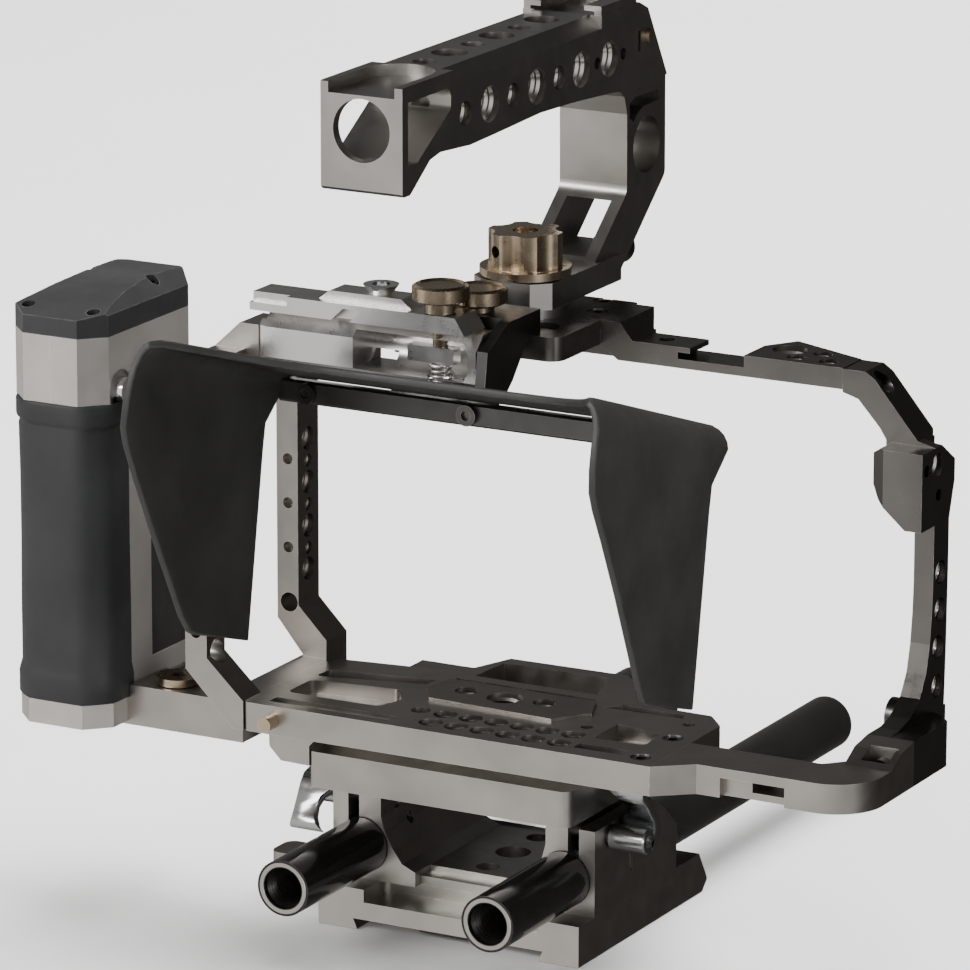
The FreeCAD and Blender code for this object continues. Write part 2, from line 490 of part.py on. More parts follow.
def cage_right_arm():
    hook = prism("arm_hook", "XZ", [("92", "150.9"), ("96.4", "149.6"), ("102.6", "142.8"),
                                    ("104.4", "140"), ("104.6", "134"), ("113.6", "119"),
                                    ("118.3", "119"), ("118.3", "139.4"), ("113.2", "140.6"),
                                    ("101", "155.2"), ("98.3", "157"), ("92", "157")],
                 "arm_near", "arm_far")
    cheek = prism("arm_cheek", "XZ", [("103.6", "137.8"), ("103.6", "129.6"), ("105.6", "126"),
                                      ("113.6", "119"), ("118.3", "119"), ("118.3", "139.4"),
                                      ("106", "139.4")], "-3", "17")
    strut = prism("arm_strut", "YZ", [("arm_near", "120"), ("arm_near", "104"), ("4.6", "96"), ("3.6", "88"),
                                      ("1.6", "80.5"), ("-2", "75"), ("-8", "71.3"), ("-14", "69.9"),
                                      ("-19.6", "69.5"), ("-19.6", "61"), ("8", "61"), ("13", "70"),
                                      ("13.6", "84"), ("14", "106"), ("14", "120")], "112.8", "118.3")
    foot = prism("arm_foot", "XY", [("112", "-19.6"), ("125", "-19.6"), ("125", "0.5"), ("121.5", "4.5"),
                                    ("118.3", "6"), ("118.3", "14"), ("112", "14")], "plate_low", "69.5")
    tools = [rod("arm_big", "X", ("108", "6.1", "134.7"), "3.2", "12"),
             prism("cheek_facet", "XY", [("102", "0.4"), ("102", "-3.1"), ("107.6", "-3.1")], "110", "145"),
             prism("cheek_back", "YZ", [("8.5", "139.7"), ("17.1", "134"), ("17.1", "142"), ("8.5", "142")],
                   "112.5", "119"),
             prism("cheek_under", "YZ", [("17.1", "129"), ("14", "119"), ("14", "118"), ("17.1", "118")],
                   "103", "119"),
             rod("arm_joint", "X", ("90", "8.7", "153.8"), "1.5", "9"),
             rod("arm_joint_seat", "X", ("96.6", "8.7", "153.8"), "2.75", "10"),
             rod("arm_thumb", "X", ("110", "9", "66.2"), "2.05", "17")]
    tools += drill("arm_small", "X", ("108", "-0.2", "134.5"), "1.6", "12", [(0, 0, 0), (0, 7.4, -7.8)])
    tools += [rod(f"arm_tap_{i}", "X", ("110", f"{y}", f"{z}"), "tap_quarter", "10")
              for i, (y, z) in enumerate(((9.4, 105.8), (9.4, 95.9), (8.6, 86.1), (8.4, 75.8)))]
    tools += [rod("arm_foot_screw", "Y", ("119.4", "-21", "63.5"), "1.6", "12")]
    blank = fuse("arm_blank", [hook, cheek, strut, foot])
    return node("cage_right_arm", cut("cage_right_arm", blank, tools))


def cage_lower_arm():
    outline = [("plate_right", "plate_near"), ("79.5", "-51"), ("125", "-51"), ("125", "-19.6"),
               ("112", "-19.6"), ("112", "-30"), ("107", "-35.5"), ("plate_right", "-35.5")]
    blank = prism("lower_blank", "XY", outline, "plate_low", "plate_top", [(2, 13.0), (5, 3.0)])
    rise = prism("lower_rise", "YZ", [("-33", "plate_top - 1"), ("-33", "plate_top"), ("-27", "68.4"),
                                      ("-19.6", "69.5"), ("-19.6", "plate_top - 1")], "112", "125")
    tools = [box("lower_window", ("94", "103"), ("-52", "-34"), ("59.3", "62.7")),
             box("lower_recess", ("86", "104"), ("-52", "-48.6"), ("plate_low - 1", "62.7")),
             box("lower_pocket", ("115.6", "123.2"), ("-31", "-25"), ("plate_top - 5.4", "72")),
             rod("lower_screw", "Y", ("119.4", "-25.9", "63.5"), "1.65", "7")]
    tools += drill("lower_dowel", "X", ("plate_right - 1", "-45", "61.4"), "1.6", "10",
                   [(0, 0, 0), (0, 6.5, 0)])
    blank = fuse("lower_body", [blank, rise])
    return node("cage_lower_arm", cut("cage_lower_arm", blank, tools))


def cage_safety_pin():
    return node("cage_safety_pin", rod("cage_safety_pin", "Y", ("-39.5", "plate_near - 4.4", "61.2"), "1.95",
                                       "15"))


def cage_screws():
    spots = [(17.4, 13.5, "deck_top - 0.2", 7.5), (13.4, 24.5, "deck_top - 0.2", 7.5),
             (64.4, -52.2, "plate_top - 0.3", 5.0), (64.2, -33.9, "plate_top - 0.3", 5.0)]
    screws = [cap_screw(f"cage_screw_{i}", (x, y, top), 2.8, 2.9, 1.6, long)
              for i, (x, y, top, long) in enumerate(spots)]
    return node("cage_screws", group("cage_screws", screws))


def side_screw(name, axis, start, head_radius, head_long, shank_radius, shank_long, flip=False):
    """A socket head screw along +X or +Y: the head first, or last when flipped."""
    step = {"X": (1, 0), "Y": (0, 1)}[axis]
    first, second = (shank_long, head_long) if flip else (head_long, shank_long)
    middle = (f"({start[0]}) + {step[0] * first}", f"({start[1]}) + {step[1] * first}", start[2])
    radii = (shank_radius, head_radius) if flip else (head_radius, shank_radius)
    pieces = [rod(f"{name}_a", axis, start, radii[0], first), rod(f"{name}_b", axis, middle, radii[1], second)]
    socket_at = middle if flip else start
    socket = rod(f"{name}_socket", axis, socket_at, head_radius * 0.5, head_long * 0.6)
    if flip:
        socket = rod(f"{name}_mouth", axis, (f"({middle[0]}) + {step[0] * head_long * 0.4}",
                                             f"({middle[1]}) + {step[1] * head_long * 0.4}", start[2]),
                     head_radius * 0.5, head_long)
    return cut(name, fuse(f"{name}_blank", pieces), [socket])


def cage_joint_screws():
    """The screws and dowels that hold the cage's pieces end to end."""
    pieces = [side_screw("joint_right", "X", ("89", "8.7", "153.8"), 2.6, 2.6, 1.25, 7.6, flip=True),
              side_screw("joint_left", "X", ("-61.6", "-35", "156.5"), 2.6, 2.6, 1.25, 16),
              side_screw("joint_foot", "Y", ("119.4", "-27.7", "63.5"), 2.5, 2.6, 1.55, 14)]
    pieces += drill("joint_dowel", "X", ("62", "-45", "61.4"), "1.55", "16", [(0, 0, 0), (0, 6.5, 0)])
    pieces += drill("joint_rail_pin", "X", ("-62", "-43", "59.5"), "1.25", "11.5", [(0, 0, 0), (0, 8, 0)])
    return node("cage_joint_screws", group("cage_joint_screws", pieces))


def arm_thumbscrew():
    """The small thumb knob on the inner side of the right foot, on an X axis."""
    shank = rod("thumb_shank", "X", ("106", "9", "66.2"), "2.0", "12")
    knob = rod("thumb_knob", "X", ("105.4", "9", "66.2"), "4.6", "6")
    return node("arm_thumbscrew", fuse("arm_thumbscrew", [shank, knob]))


# ---------------------------------------------------------------- top handle

def handle_disc():
    disc = rod("disc_blank", "Z", ("0", "knob_y", "deck_top"), "12", "foot_low - deck_top")
    hole = rod("disc_hole", "Z", ("0", "knob_y", "deck_top - 1"), "3.3", "6")
    return node("handle_disc", cut("handle_disc", disc, [hole]))


def top_handle():
    beam = prism("beam", "YZ", [("-80.5", "210.2"), ("-80.5", "grip_top + 2.5"), ("-79.8", "grip_top + 2.7"),
                                ("47.5", "grip_top + 2.7"), ("52.5", "grip_top + 0.4"), ("63.8", "215"),
                                ("43.5", "214.2"), ("32", "215.6"), ("10", "217"), ("-8", "217.6"),
                                ("-29.5", "216.8"), ("-45.4", "216.3"), ("-61", "217.4"), ("-66.3", "216.4"),
                                ("-76.5", "209.4"), ("-79.7", "209.4")], "-grip_half", "grip_half")
    leg = prism("leg", "YZ", [("38", "215.6"), ("42.2", "212.5"), ("43.8", "207.5"), ("44", "186.4"),
                              ("25.8", "foot_top"), ("15", "foot_top"), ("15", "foot_low"), ("38.4", "foot_low"),
                              ("66.2", "187.6"), ("66", "214.8"), ("60", "216")], "-post_half", "post_half",
                [(3, 4.0), (8, 3.0)])
    foot = prism("foot", "XY", [("-11.5", "-0.8"), ("-7.2", "-5.1"), ("7.2", "-5.1"), ("11.5", "-0.8"),
                                ("11.5", "38.2"), ("-11.5", "38.2")], "foot_low", "foot_top")
    shoe = fuse("handle_shoe", [box(f"shoe_{i}", xs, ("26", "46"), zs) for i, (xs, zs) in enumerate([
        (("9.4", "11.4"), ("grip_top - 1.5", "239.4")), (("-11.4", "-9.4"), ("grip_top - 1.5", "239.4")),
        (("6.4", "9.5"), ("238", "239.4")), (("-9.5", "-6.4"), ("238", "239.4"))])])
    tools = [rod("front_bore", "Y", ("0", "-81", "225.2"), "8.05", "3.4"),
             prism("side_window", "YZ", [("-77.6", "232.9"), ("-55.6", "232.9"), ("-55.6", "227.4"),
                                         ("-73", "216.9"), ("-77.6", "217")], "-15", "15",
                   [(1, 2.5), (2, 2.0)]),
             rod("window_tap", "Y", ("3", "-56", "228"), "2.6", "4"),
             box("front_shoe", ("-9.4", "9.4"), ("-82", "-62"), ("234.1", "238")),
             rod("front_shoe_end", "Z", ("0", "-62", "234.1"), "9.4", "4"),
             rod("cross_bore", "X", ("-15", "55.2", "197.4"), "7.75", "30"),
             prism("strap_slot", "YZ", [("45.2", "209.9"), ("48.5", "211.4"), ("62.4", "211"), ("62.4", "208.3"),
                                        ("53", "208"), ("49.3", "206.4"), ("47.6", "204.8"), ("45.2", "206.2")],
                   "-15", "15"),
             prism("leg_window", "YZ", [("20", "172.2"), ("70", "172.2"), ("70", "184.4"), ("20", "184.4")],
                   "-6.6", "6.6"),
             rod("pin_hole", "X", ("7.5", "52.5", "227.3"), "1.95", "8"),
             box("pin_slot", ("8.5", "15"), ("46.8", "48.2"), ("223.8", "229.4")),
             rod("foot_bolt", "Z", ("0", "knob_y", "foot_low - 1"), "3.25", "10"),
             rod("leg_bolt", "Y", ("0", "33", "168.2"), "2.05", "20"),
             box("shoe_floor", ("-9.4", "9.4"), ("26", "46"), ("235.6", "238"))]
    for sign in (-1, 1):
        slope = [(f"{sign} * 8.0", "grip_top + 2.8"), (f"{sign} * (grip_half + 0.1)", "grip_top - 0.8"),
                 (f"{sign} * (grip_half + 0.1)", "grip_top + 2.8")]
        if sign < 0:
            slope.reverse()
        tools.append(prism(f"beam_bevel_{sign + 1}", "XZ", slope, "-54.5", "25.9"))
    for index, (y, radius) in enumerate([(-48, "tap_quarter"), (-35, "4.76"), (-22.6, "tap_quarter"),
                                         (-9.8, "4.76"), (2.4, "tap_quarter"), (14.6, "4.76"),
                                         (23.6, "1.6"), (30.3, "4.76"), (38.3, "1.6")]):
        tools.append(rod(f"beam_side_{index}", "X", ("-15", str(y), "224.9"), radius, "30"))
        if y < 20:
            tools.append(rod(f"beam_top_{index}", "Z", ("0", str(y), "231.5"), radius, "8"))
    return node("top_handle", cut("top_handle", fuse("handle_blank", [beam, leg, foot, shoe]), tools))


def handle_knob():
    disc = rod("knob_disc", "Z", ("0", "knob_y", "foot_top + gap"), "12", "2.1")
    grip = rod("knob_grip", "Z", ("0", "knob_y", "foot_top + 2.3"), "9.9", "9.3")
    shank = rod("knob_shank", "Z", ("0", "knob_y", "156.2"), "3.2", "16")
    tools = []
    for index in range(6):
        angle = math.radians(60 * index - 24.6)
        tools.append(rod(f"knob_scallop_{index}", "Z", (f"13 * {math.cos(angle):.5f}",
                                                         f"knob_y + 13 * {math.sin(angle):.5f}",
                                                         "foot_top + 2.5"), "5.0", "14"))
    tools += [rod("knob_dish", "Z", ("0", "knob_y", "foot_top + 9.6"), "3.4", "4"),
              rod("knob_dimple", "Z", ("6.2", "knob_y - 8.9", "foot_top + 1.6"), "0.9", "2")]
    bar = rod("knob_bar", "Y", ("0", "-15", "0"), "1.6", "30")
    turned = group("knob_bar_turned", [bar])
    turned.Placement = Placement(Vector(0, 6, 178.4), Rotation(Vector(0, 0, 1), -24.6))
    tools.append(turned)
    return node("handle_knob", cut("handle_knob", fuse("knob_blank", [disc, grip, shank]), tools))


def handle_front_knob():
    shank = rod("front_shank", "Y", ("0", "34", "168.2"), "2.0", "18")
    knob = rod("front_knob", "Y", ("0", "51.2", "168.2"), "4.8", "8")
    return node("handle_front_knob", fuse("handle_front_knob", [shank, knob]))


def handle_push_pin():
    return node("handle_push_pin", rod("handle_push_pin", "X", ("9.5", "52.5", "227.3"), "1.85", "3.3"))


# ---------------------------------------------------------------- drive clamp and thumbscrews

def drive_clamp_body():
    def octagon(name, near, far, low, high, bevel, start, end):
        return prism(name, "YZ", [(near, f"{low} + {bevel}"), (near, f"{high} - {bevel}"),
                                  (f"{near} + {bevel}", high), (f"{far} - {bevel}", high),
                                  (far, f"{high} - {bevel}"), (far, f"{low} + {bevel}"),
                                  (f"{far} - {bevel}", low), (f"{near} + {bevel}", low)], start, end)
    tube = octagon("drive_tube", "-42", "-28", "149.5", "165.5", "4", "-50.8", "11.3")
    flange = octagon("drive_flange", "-41.5", "-28.5", "151", "163", "1.5", "-52.4", "-50.8")
    tools = [rod("drive_bore", "X", ("-24.5", "-35.4", "158.4"), "5.0", "34"),
             prism("drive_window", "XZ", [("-24.5", "153.4"), ("7.6", "153.4"), ("9", "156"), ("9", "161"),
                                          ("7.6", "163.4"), ("-24.5", "163.4")], "-43", "-35.4"),
             box("drive_through", ("-24", "-17"), ("-36", "-27"), ("153.4", "156.6")),
             box("drive_relief", ("-16.5", "12"), ("-43", "-27"), ("149", "152.4")),
             rod("drive_screw", "Z", ("-1", "-38", "162"), "2.05", "6"),
             rod("drive_spring", "Z", ("-1", "-38", "151"), "3.6", "4"),
             rod("drive_joint", "X", ("-53", "-35", "156.5"), "1.3", "12")]
    tools += drill("drive_pin", "Z", ("6.6", "-38", "152"), "1.0", "1.5", [(0, 0, 0), (2.6, 0, 0)])
    return node("drive_clamp_body", cut("drive_clamp_body", fuse("drive_blank", [tube, flange]), tools))


def drive_clamp_cover():
    cover = prism("cover_blank", "XZ", [("-55", "165.5"), ("8", "165.5"), ("5.2", "170"), ("-55", "170")],
                  "-42", "-30.8")
    raised = prism("cover_raised", "XZ", [("-36", "170"), ("-9", "170"), ("-12", "172.4"), ("-33", "172.4")],
                   "-39", "-31")
    tools = [rod("cover_screw", "Z", ("-1", "-38", "165"), "2.05", "8"),
             rod("cover_ring", "Z", ("-20", "-35", "165"), "1.7", "8"),
             box("cover_step", ("-56", "-44"), ("-43", "-40"), ("167.6", "171")),
             prism("cover_notch", "XZ", [("-31", "165.4"), ("-25.5", "165.4"), ("-22", "168.8"),
                                         ("-27.5", "168.8")], "-43", "-39")]
    return node("drive_clamp_cover", cut("drive_clamp_cover", fuse("cover_body", [cover, raised]), tools))


def drive_clamp_eyelet():
    cone = doc.addObject("Part::Cone", "eyelet_cone")
    cone.Radius1, cone.Radius2, cone.Height = 3.0, 4.7, 2.4
    cone.Placement = Placement(Vector(-20, -35, 172.4), Rotation())
    stem = rod("eyelet_stem", "Z", ("-20", "-35", "165.6"), "1.65", "7")
    hole = rod("eyelet_hole", "Z", ("-20", "-35", "172.8"), "2.3", "4")
    return node("drive_clamp_eyelet", cut("drive_clamp_eyelet", fuse("eyelet_blank", [cone, stem]), [hole]))


def drive_clamp_jaw():
    block = box("jaw_block", ("-9.7", "3.7"), ("-39.8", "-36"), ("157", "161.2"))
    return node("drive_clamp_jaw", block)


def drive_clamp_spring():
    helix = doc.addObject("Part::Helix", "spring_path")
    helix.Pitch, helix.Height, helix.Radius = 1.3, 6.4, 2.6
    helix.Placement = Placement(Vector(-1, -38, 150.2), Rotation())
    wire = doc.addObject("Part::Circle", "spring_wire")
    wire.Radius = 0.35
    wire.Placement = Placement(Vector(1.6, -38, 150.2), Rotation(Vector(1, 0, 0), 90))
    spring = doc.addObject("Part::Sweep", "drive_clamp_spring")
    spring.Sections = [wire]
    spring.Spine = (helix, [])
    spring.Solid = True
    spring.Frenet = True
    return node("drive_clamp_spring", spring)


def drive_clamp_keeper():
    seat = box("keeper_seat", ("-5.5", "11"), ("-41", "-34"), ("148.3", "149.7"))
    pins = [rod(f"keeper_pin_{i}", "Z", (str(x), "-38", "149.6"), "0.95", "3.7") for i, x in enumerate((6.6, 9.2))]
    return node("drive_clamp_keeper", fuse("drive_clamp_keeper", [seat] + pins))


def thumbscrew(name, x, y, tip, collar, head):
    """A knurled thumbscrew on a Z axis: shank, neck and head."""
    shank = rod(f"{name}_shank", "Z", (x, y, tip), "2.0", f"({collar}) - ({tip}) + 0.1")
    neck = rod(f"{name}_neck", "Z", (x, y, collar), "4.1", f"({head}) - ({collar})")
    grip = rod(f"{name}_grip", "Z", (x, y, head), "7.4", "4.5")
    return node(name, fuse(name, [shank, neck, grip]))


# ---------------------------------------------------------------- hood and bracket

def hood_bracket():
    flange = box("bracket_flange", ("-8", "14.5"), ("-27.8", "-13"), ("deck_top", "167.6"))
    cheek = prism("bracket_cheek", "YZ", [("-13", "deck_top"), ("-13", "167.6"), ("-30", "167.6"),
                                          ("-41.5", "162"), ("-43", "153"), ("-50.8", "152.9"),
                                          ("-50.8", "149.1"), ("-34", "147"), ("-27.8", "152"),
                                          ("-19.2", "deck_top")],
                  "11.6", "14.5")
    arm = box("bracket_arm", ("3", "14.5"), ("hinge_y", "-43"), ("149.1", "152.9"))
    knuckle = rod("bracket_knuckle", "X", ("3", "hinge_y", "hinge_z"), "2.9", "11.5")
    tools = [rod("bracket_bore", "X", ("2", "hinge_y", "hinge_z"), "1.5 + fit", "14"),
             rod("bracket_screw", "Z", ("2", "-23", "160"), "2.05", "10")]
    blank = fuse("bracket_blank", [flange, cheek, arm, knuckle])
    return node("hood_bracket", cut("hood_bracket", blank, tools))


def hood_frame():
    top = box("frame_top", ("hood_left", "hood_right"), ("-60", "-56.8"), ("147.5", "153.5"))
    pieces = [top]
    for side, low, high in (("left", "hood_left", "hood_left + 5"), ("right", "hood_right - 5", "hood_right")):
        pieces.append(prism(f"frame_{side}", "YZ", [("-56.8", "153.5"), ("-60", "153.5"), ("-71", "89"),
                                                    ("-67.2", "88.4")], low, high))
    for side, low, high in (("a", -6.0, 2.6), ("b", 14.9, 23.0)):
        pieces.append(rod(f"frame_knuckle_{side}", "X", (low, "hinge_y", "hinge_z"), "2.9", high - low))
        pieces.append(box(f"frame_tab_{side}", (low, high), ("-57", "hinge_y"), ("149.4", "152.6")))
    tools = [rod("frame_bore", "X", ("-8", "hinge_y", "hinge_z"), "1.52", "35")]
    tools += drill("frame_screw", "Y", ("-27.5", "-61", "150.6"), "1.6", "5", [(0, 0, 0), (46.5, 0, 0)])
    return node("hood_frame", cut("hood_frame", fuse("frame_blank", pieces), tools))


def hood_pin():
    return node("hood_pin", rod("hood_pin", "X", ("-5.8", "hinge_y", "hinge_z"), "1.5", "28.6"))


def hood_screws():
    screws = []
    for index, x in enumerate((-27.5, 19.0)):
        screws.append(side_screw(f"hood_screw_{index}", "Y", (x, "-61.6", "150.6"), 2.7, 1.6, 1.55, 3.0))
    return node("hood_screws", group("hood_screws", screws))


def hood_shell():
    profile = [("-57.5", "153.5"), ("-60", "155.6"), ("-126", "178"), ("-133", "156.5"),
               ("-105", "99.5"), ("-99.5", "95.4"), ("-68", "87.6")]
    flaps = [prism("hood_flap_left", "YZ", profile, "hood_left - 2", "hood_left", [(2, 7.0), (4, 4.0)]),
             prism("hood_flap_right", "YZ", profile, "hood_right", "hood_right + 2", [(2, 7.0), (4, 4.0)])]
    roof = prism("hood_roof", "YZ", [("-57.5", "153.5"), ("-60", "153.5"), ("-124.5", "175.4"),
                                     ("-125.2", "177.4"), ("-60", "155.6"), ("-57.5", "155.6")],
                 "hood_left - 2", "hood_right + 2")
    opening = prism("hood_opening", "XY", [("-32", "-140"), ("-27.5", "-118"), ("-19", "-104"),
                                           ("-4", "-96"), ("15", "-93"), ("38", "-93"), ("57", "-96"),
                                           ("72", "-104"), ("80.5", "-118"), ("85", "-140")],
                    "150", "180")
    return node("hood_shell", cut("hood_shell", fuse("hood_blank", flaps + [roof]), [opening]))


# ---------------------------------------------------------------- side handle

def octagon(name, half_x, half_y, bevel, low, high):
    """A bevelled block on the side handle's axis."""
    points = []
    for sx, sy, first in ((-1, -1, "x"), (1, -1, "y"), (1, 1, "x"), (-1, 1, "y")):
        along_x = (f"side_x + {sx} * ({half_x} - {bevel})", f"side_y + {sy} * ({half_y})")
        along_y = (f"side_x + {sx} * ({half_x})", f"side_y + {sy} * ({half_y} - {bevel})")
        points += [along_y, along_x] if first == "x" else [along_x, along_y]
    return prism(name, "XY", points, low, high)


def side_shell(side, sign):
    lower = octagon(f"shell_{side}_lower", "side_half_x - 1.5", "side_half_y - 1.5", "side_chamfer",
                    "58", "139")
    upper = octagon(f"shell_{side}_upper", "side_half_x", "side_half_y", "side_chamfer", "139",
                    "side_high")
    cavity = octagon(f"shell_{side}_cavity", "10.6", "22.7", "4.5", "57", "side_high + 1")
    pieces, tools = [lower, upper], []
    if sign > 0:
        pieces.append(box("shell_land", ("-92", "side_x + side_half_x"), ("-46.5", "-15.7"), ("60", "139")))
        tools += [box("shell_panel_seat", ("-90.2", "-89"), ("-36", "-18.5"), ("66", "112")),
                  rod("shell_button_hole", "X", ("-94", "-50.5", "142"), "3.6", "6"),
                  rod("shell_button_seat", "X", ("-90.2", "-50.5", "142"), "5.4", "3")]
    hollow = cut(f"shell_{side}_hollow", fuse(f"shell_{side}_blank", pieces), [cavity])
    boss_x = sorted((sign * 8.2, sign * 10.8))
    boss = box(f"shell_{side}_boss", [f"side_x + {x}" for x in boss_x], ("side_y + 6.4", "side_y + 11.6"),
               ("152.6", "side_high"))
    tools += drill(f"shell_{side}_screw", "Z", (f"side_x + {sign} * 9.9", "side_y", "150"), "1.25", "8",
                   [(0, -20.5, 0), (0, 9, 0)])
    keep = sorted((sign * 30, 0))
    half = box(f"shell_{side}_half", (f"side_x + {keep[0]}", f"side_x + {keep[1]}"), ("-70", "0"),
               ("50", "170"))
    whole = cut(f"shell_{side}_whole", fuse(f"shell_{side}_bossed", [hollow, boss]), tools)
    shell = doc.addObject("Part::Common", f"side_shell_{side}")
    shell.Base = whole
    shell.Tool = half
    return node(f"side_shell_{side}", shell)


CAP_SCREWS = [(-9.9, -20.5, 162.4), (9.9, -20.5, 162.4), (-9.9, 9.0, 165.2), (9.9, 9.0, 165.2)]


def side_cap():
    blank = octagon("cap_blank", "side_half_x", "side_half_y", "side_chamfer", "side_high", "167.2")
    tools = [prism("cap_dome", "YZ", [("-63", "161.7"), ("-54", "163.9"), ("-42", "165.8"), ("-28", "166.8"),
                                      ("-16", "166.6"), ("-9", "165.8"), ("-9", "170"), ("-63", "170")],
                   "-120", "-86")]
    for side, sign in (("left", -1), ("right", 1)):
        slope = [(f"side_x + {sign * 14.4}", "162.6"), (f"side_x + {sign * 14.4}", "168"),
                 (f"side_x + {sign * 7.7}", "168")]
        if sign > 0:
            slope.reverse()
        tools.append(prism(f"cap_slope_{side}", "XZ", slope, "-63", "-9"))
    for index, (x, y, z) in enumerate(CAP_SCREWS):
        spot = (f"side_x + {x}", f"side_y + {y}")
        tools.append(rod(f"cap_hole_{index}", "Z", (*spot, "156"), "1.25", "12"))
        tools.append(rod(f"cap_seat_{index}", "Z", (*spot, f"{z} - 2.1"), "1.85", "6"))
    return node("side_cap", cut("side_cap", blank, tools))


def side_cap_screws():
    screws = [cap_screw(f"cap_screw_{i}", (f"side_x + {x}", f"side_y + {y}", str(z)), 1.8, 2.0, 1.2, z - 154.2)
              for i, (x, y, z) in enumerate(CAP_SCREWS)]
    return node("side_cap_screws", group("side_cap_screws", screws))


def side_grip():
    sleeve = octagon("grip_sleeve", "side_half_x + 0.1", "side_half_y + 0.1", "side_chamfer", "58", "139")
    foot = octagon("grip_foot", "side_half_x + 0.7", "side_half_y + 0.7", "side_chamfer", "58", "66")
    band = octagon("grip_band", "side_half_x + 0.5", "side_half_y + 0.5", "side_chamfer", "134", "139")
    bore = octagon("grip_bore", "side_half_x - 1.5", "side_half_y - 1.5", "side_chamfer", "57", "140")
    tools = [bore, box("grip_open", ("-92", "-85"), ("-46.5", "-15.7"), ("60", "140")),
             rod("grip_notch", "X", ("-96", "-50.5", "142"), "5.4", "12")]
    return node("side_grip", cut("side_grip", fuse("grip_blank", [sleeve, foot, band]), tools))


def side_base():
    plate = octagon("side_base_plate", "side_half_x", "side_half_y", "side_chamfer", "side_low", "58")
    plug = octagon("side_base_plug", "10.5", "22.6", "4.5", "57.9", "59.9")
    tools = [box("side_base_seat", ("-92.6", "-85"), ("-49", "-31"), ("50", "58"))]
    tools += drill("side_base_screw", "X", ("-100", "-45", "55"), "1.3", "9", [(0, 0, 0), (0, 10, 0)])
    return node("side_base", cut("side_base", fuse("side_base_blank", [plate, plug]), tools))


def side_panel():
    return node("side_panel", box("side_panel", ("-90.2", "-89.6"), ("-36", "-18.5"), ("66", "112")))


def side_handle_button():
    cap = rod("button_cap", "X", ("-93.5", "-50.5", "142"), "3.5", "6.8")
    return node("side_handle_button", cap)


def battery_cells():
    cells = [rod(f"cell_{i}", "Z", ("side_x", f"side_y + {offset}", "64.8"), "9.1", "65")
             for i, offset in enumerate((-9.4, 9.4))]
    return node("battery_cells", group("battery_cells", cells))


def battery_contacts():
    low = box("contact_low", ("side_x - 9", "side_x + 9"), ("side_y - 17", "side_y + 17"), ("59.9", "61.1"))
    bumps = [rod(f"contact_bump_{i}", "Z", ("side_x", f"side_y + {offset}", "61"), "3", "3.8")
             for i, offset in enumerate((-9.4, 9.4))]
    high = box("contact_high", ("side_x - 9", "side_x + 9"), ("side_y - 17", "side_y + 17"),
               ("129.8", "131"))
    return node("battery_contacts", group("battery_contacts", [fuse("contact_near", [low] + bumps), high]))


def circuit_board():
    board = box("board_sheet", ("side_x - 7.5", "side_x + 9"), ("side_y - 6", "side_y + 16"), ("150", "151.6"))
    posts = [rod(f"board_post_{i}", "Z", ("side_x", f"side_y + {offset}", "131"), "1.5", "19.2")
             for i, offset in enumerate((-3, 12))]
    return node("circuit_board", fuse("circuit_board", [board] + posts))


def handle_arm():
    arm = prism("arm_bar", "XZ", [("-92.6", "50.6"), ("-54", "50.6"), ("-54", "54.4"),
                                  ("-49.6", "54.4"), ("-49.6", "plate_low"), ("-56", "plate_low"),
                                  ("-56", "61.5"), ("-92.6", "61.5")], "-49", "-31")
    tools = [rod("arm_ring_hole", "Z", ("-78", "-41.5", "54"), "2.55", "10"),
             box("arm_side_top", ("-93", "-88.4"), ("-50", "-30"), ("58", "62"))]
    tools += drill("arm_base_screw", "X", ("-93", "-45", "55"), "1.3", "8", [(0, 0, 0), (0, 10, 0)])
    tools += drill("arm_rail_pin", "X", ("-63", "-43", "59.5"), "1.3", "8", [(0, 0, 0), (0, 8, 0)])
    return node("handle_arm", cut("handle_arm", arm, tools))


def arm_base_screws():
    screws = [rod(f"arm_base_screw_pin_{i}", "X", ("-99", y, "55"), "1.25", "13") for i, y in enumerate((-45, -35))]
    return node("arm_base_screws", group("arm_base_screws", screws))


def handle_ring():
    stem = rod("ring_stem", "Z", ("-78", "-41.5", "55"), "2.5", "6.9")
    disc = rod("ring_disc", "Z", ("-78", "-41.5", "61.8"), "5.8", "2.0")
    hole = rod("ring_hole", "Z", ("-78", "-41.5", "60"), "1.7", "5")
    return node("handle_ring", cut("handle_ring", fuse("ring_blank", [stem, disc]), [hole]))


# ---------------------------------------------------------------- build and export

def build():
    base_plate()
    base_riser()
    base_pad()
    base_lock_slider()
    for side, sign in (("left", -1), ("right", 1)):
        rod_clamp(side, sign)
        support_rod(side, sign)
        clamp_lever(side, sign)
        side_shell(side, sign)
    qr_receiver()
    receiver_screws()
    qr_jaw_left()
    qr_rail_right()
    qr_jaw_bolts()
    qr_plate()
    cage_bottom_plate()
    camera_key_plate()
    cage_left_frame()
    cage_top_plate()
    cage_top_bar()
    cage_right_arm()
    cage_lower_arm()
    cage_safety_pin()
    cage_screws()
    cage_joint_screws()
    arm_thumbscrew()
    handle_disc()
    top_handle()
    handle_knob()
    handle_front_knob()
    handle_push_pin()
    drive_clamp_body()
    drive_clamp_cover()
    drive_clamp_eyelet()
    drive_clamp_jaw()
    drive_clamp_spring()
    drive_clamp_keeper()
    thumbscrew("thumbscrew_near", "-1", "-38", "161.3", "170.3", "173.2")
    thumbscrew("thumbscrew_far", "2", "-23", "162.4", "167.9", "169.7")
    hood_bracket()
    hood_frame()
    hood_pin()
    hood_screws()
    hood_shell()
    side_cap()
    side_cap_screws()
    side_grip()
    side_base()
    side_panel()
    side_handle_button()
    battery_cells()
    battery_contacts()
    circuit_board()
    handle_arm()
    arm_base_screws()
    handle_ring()


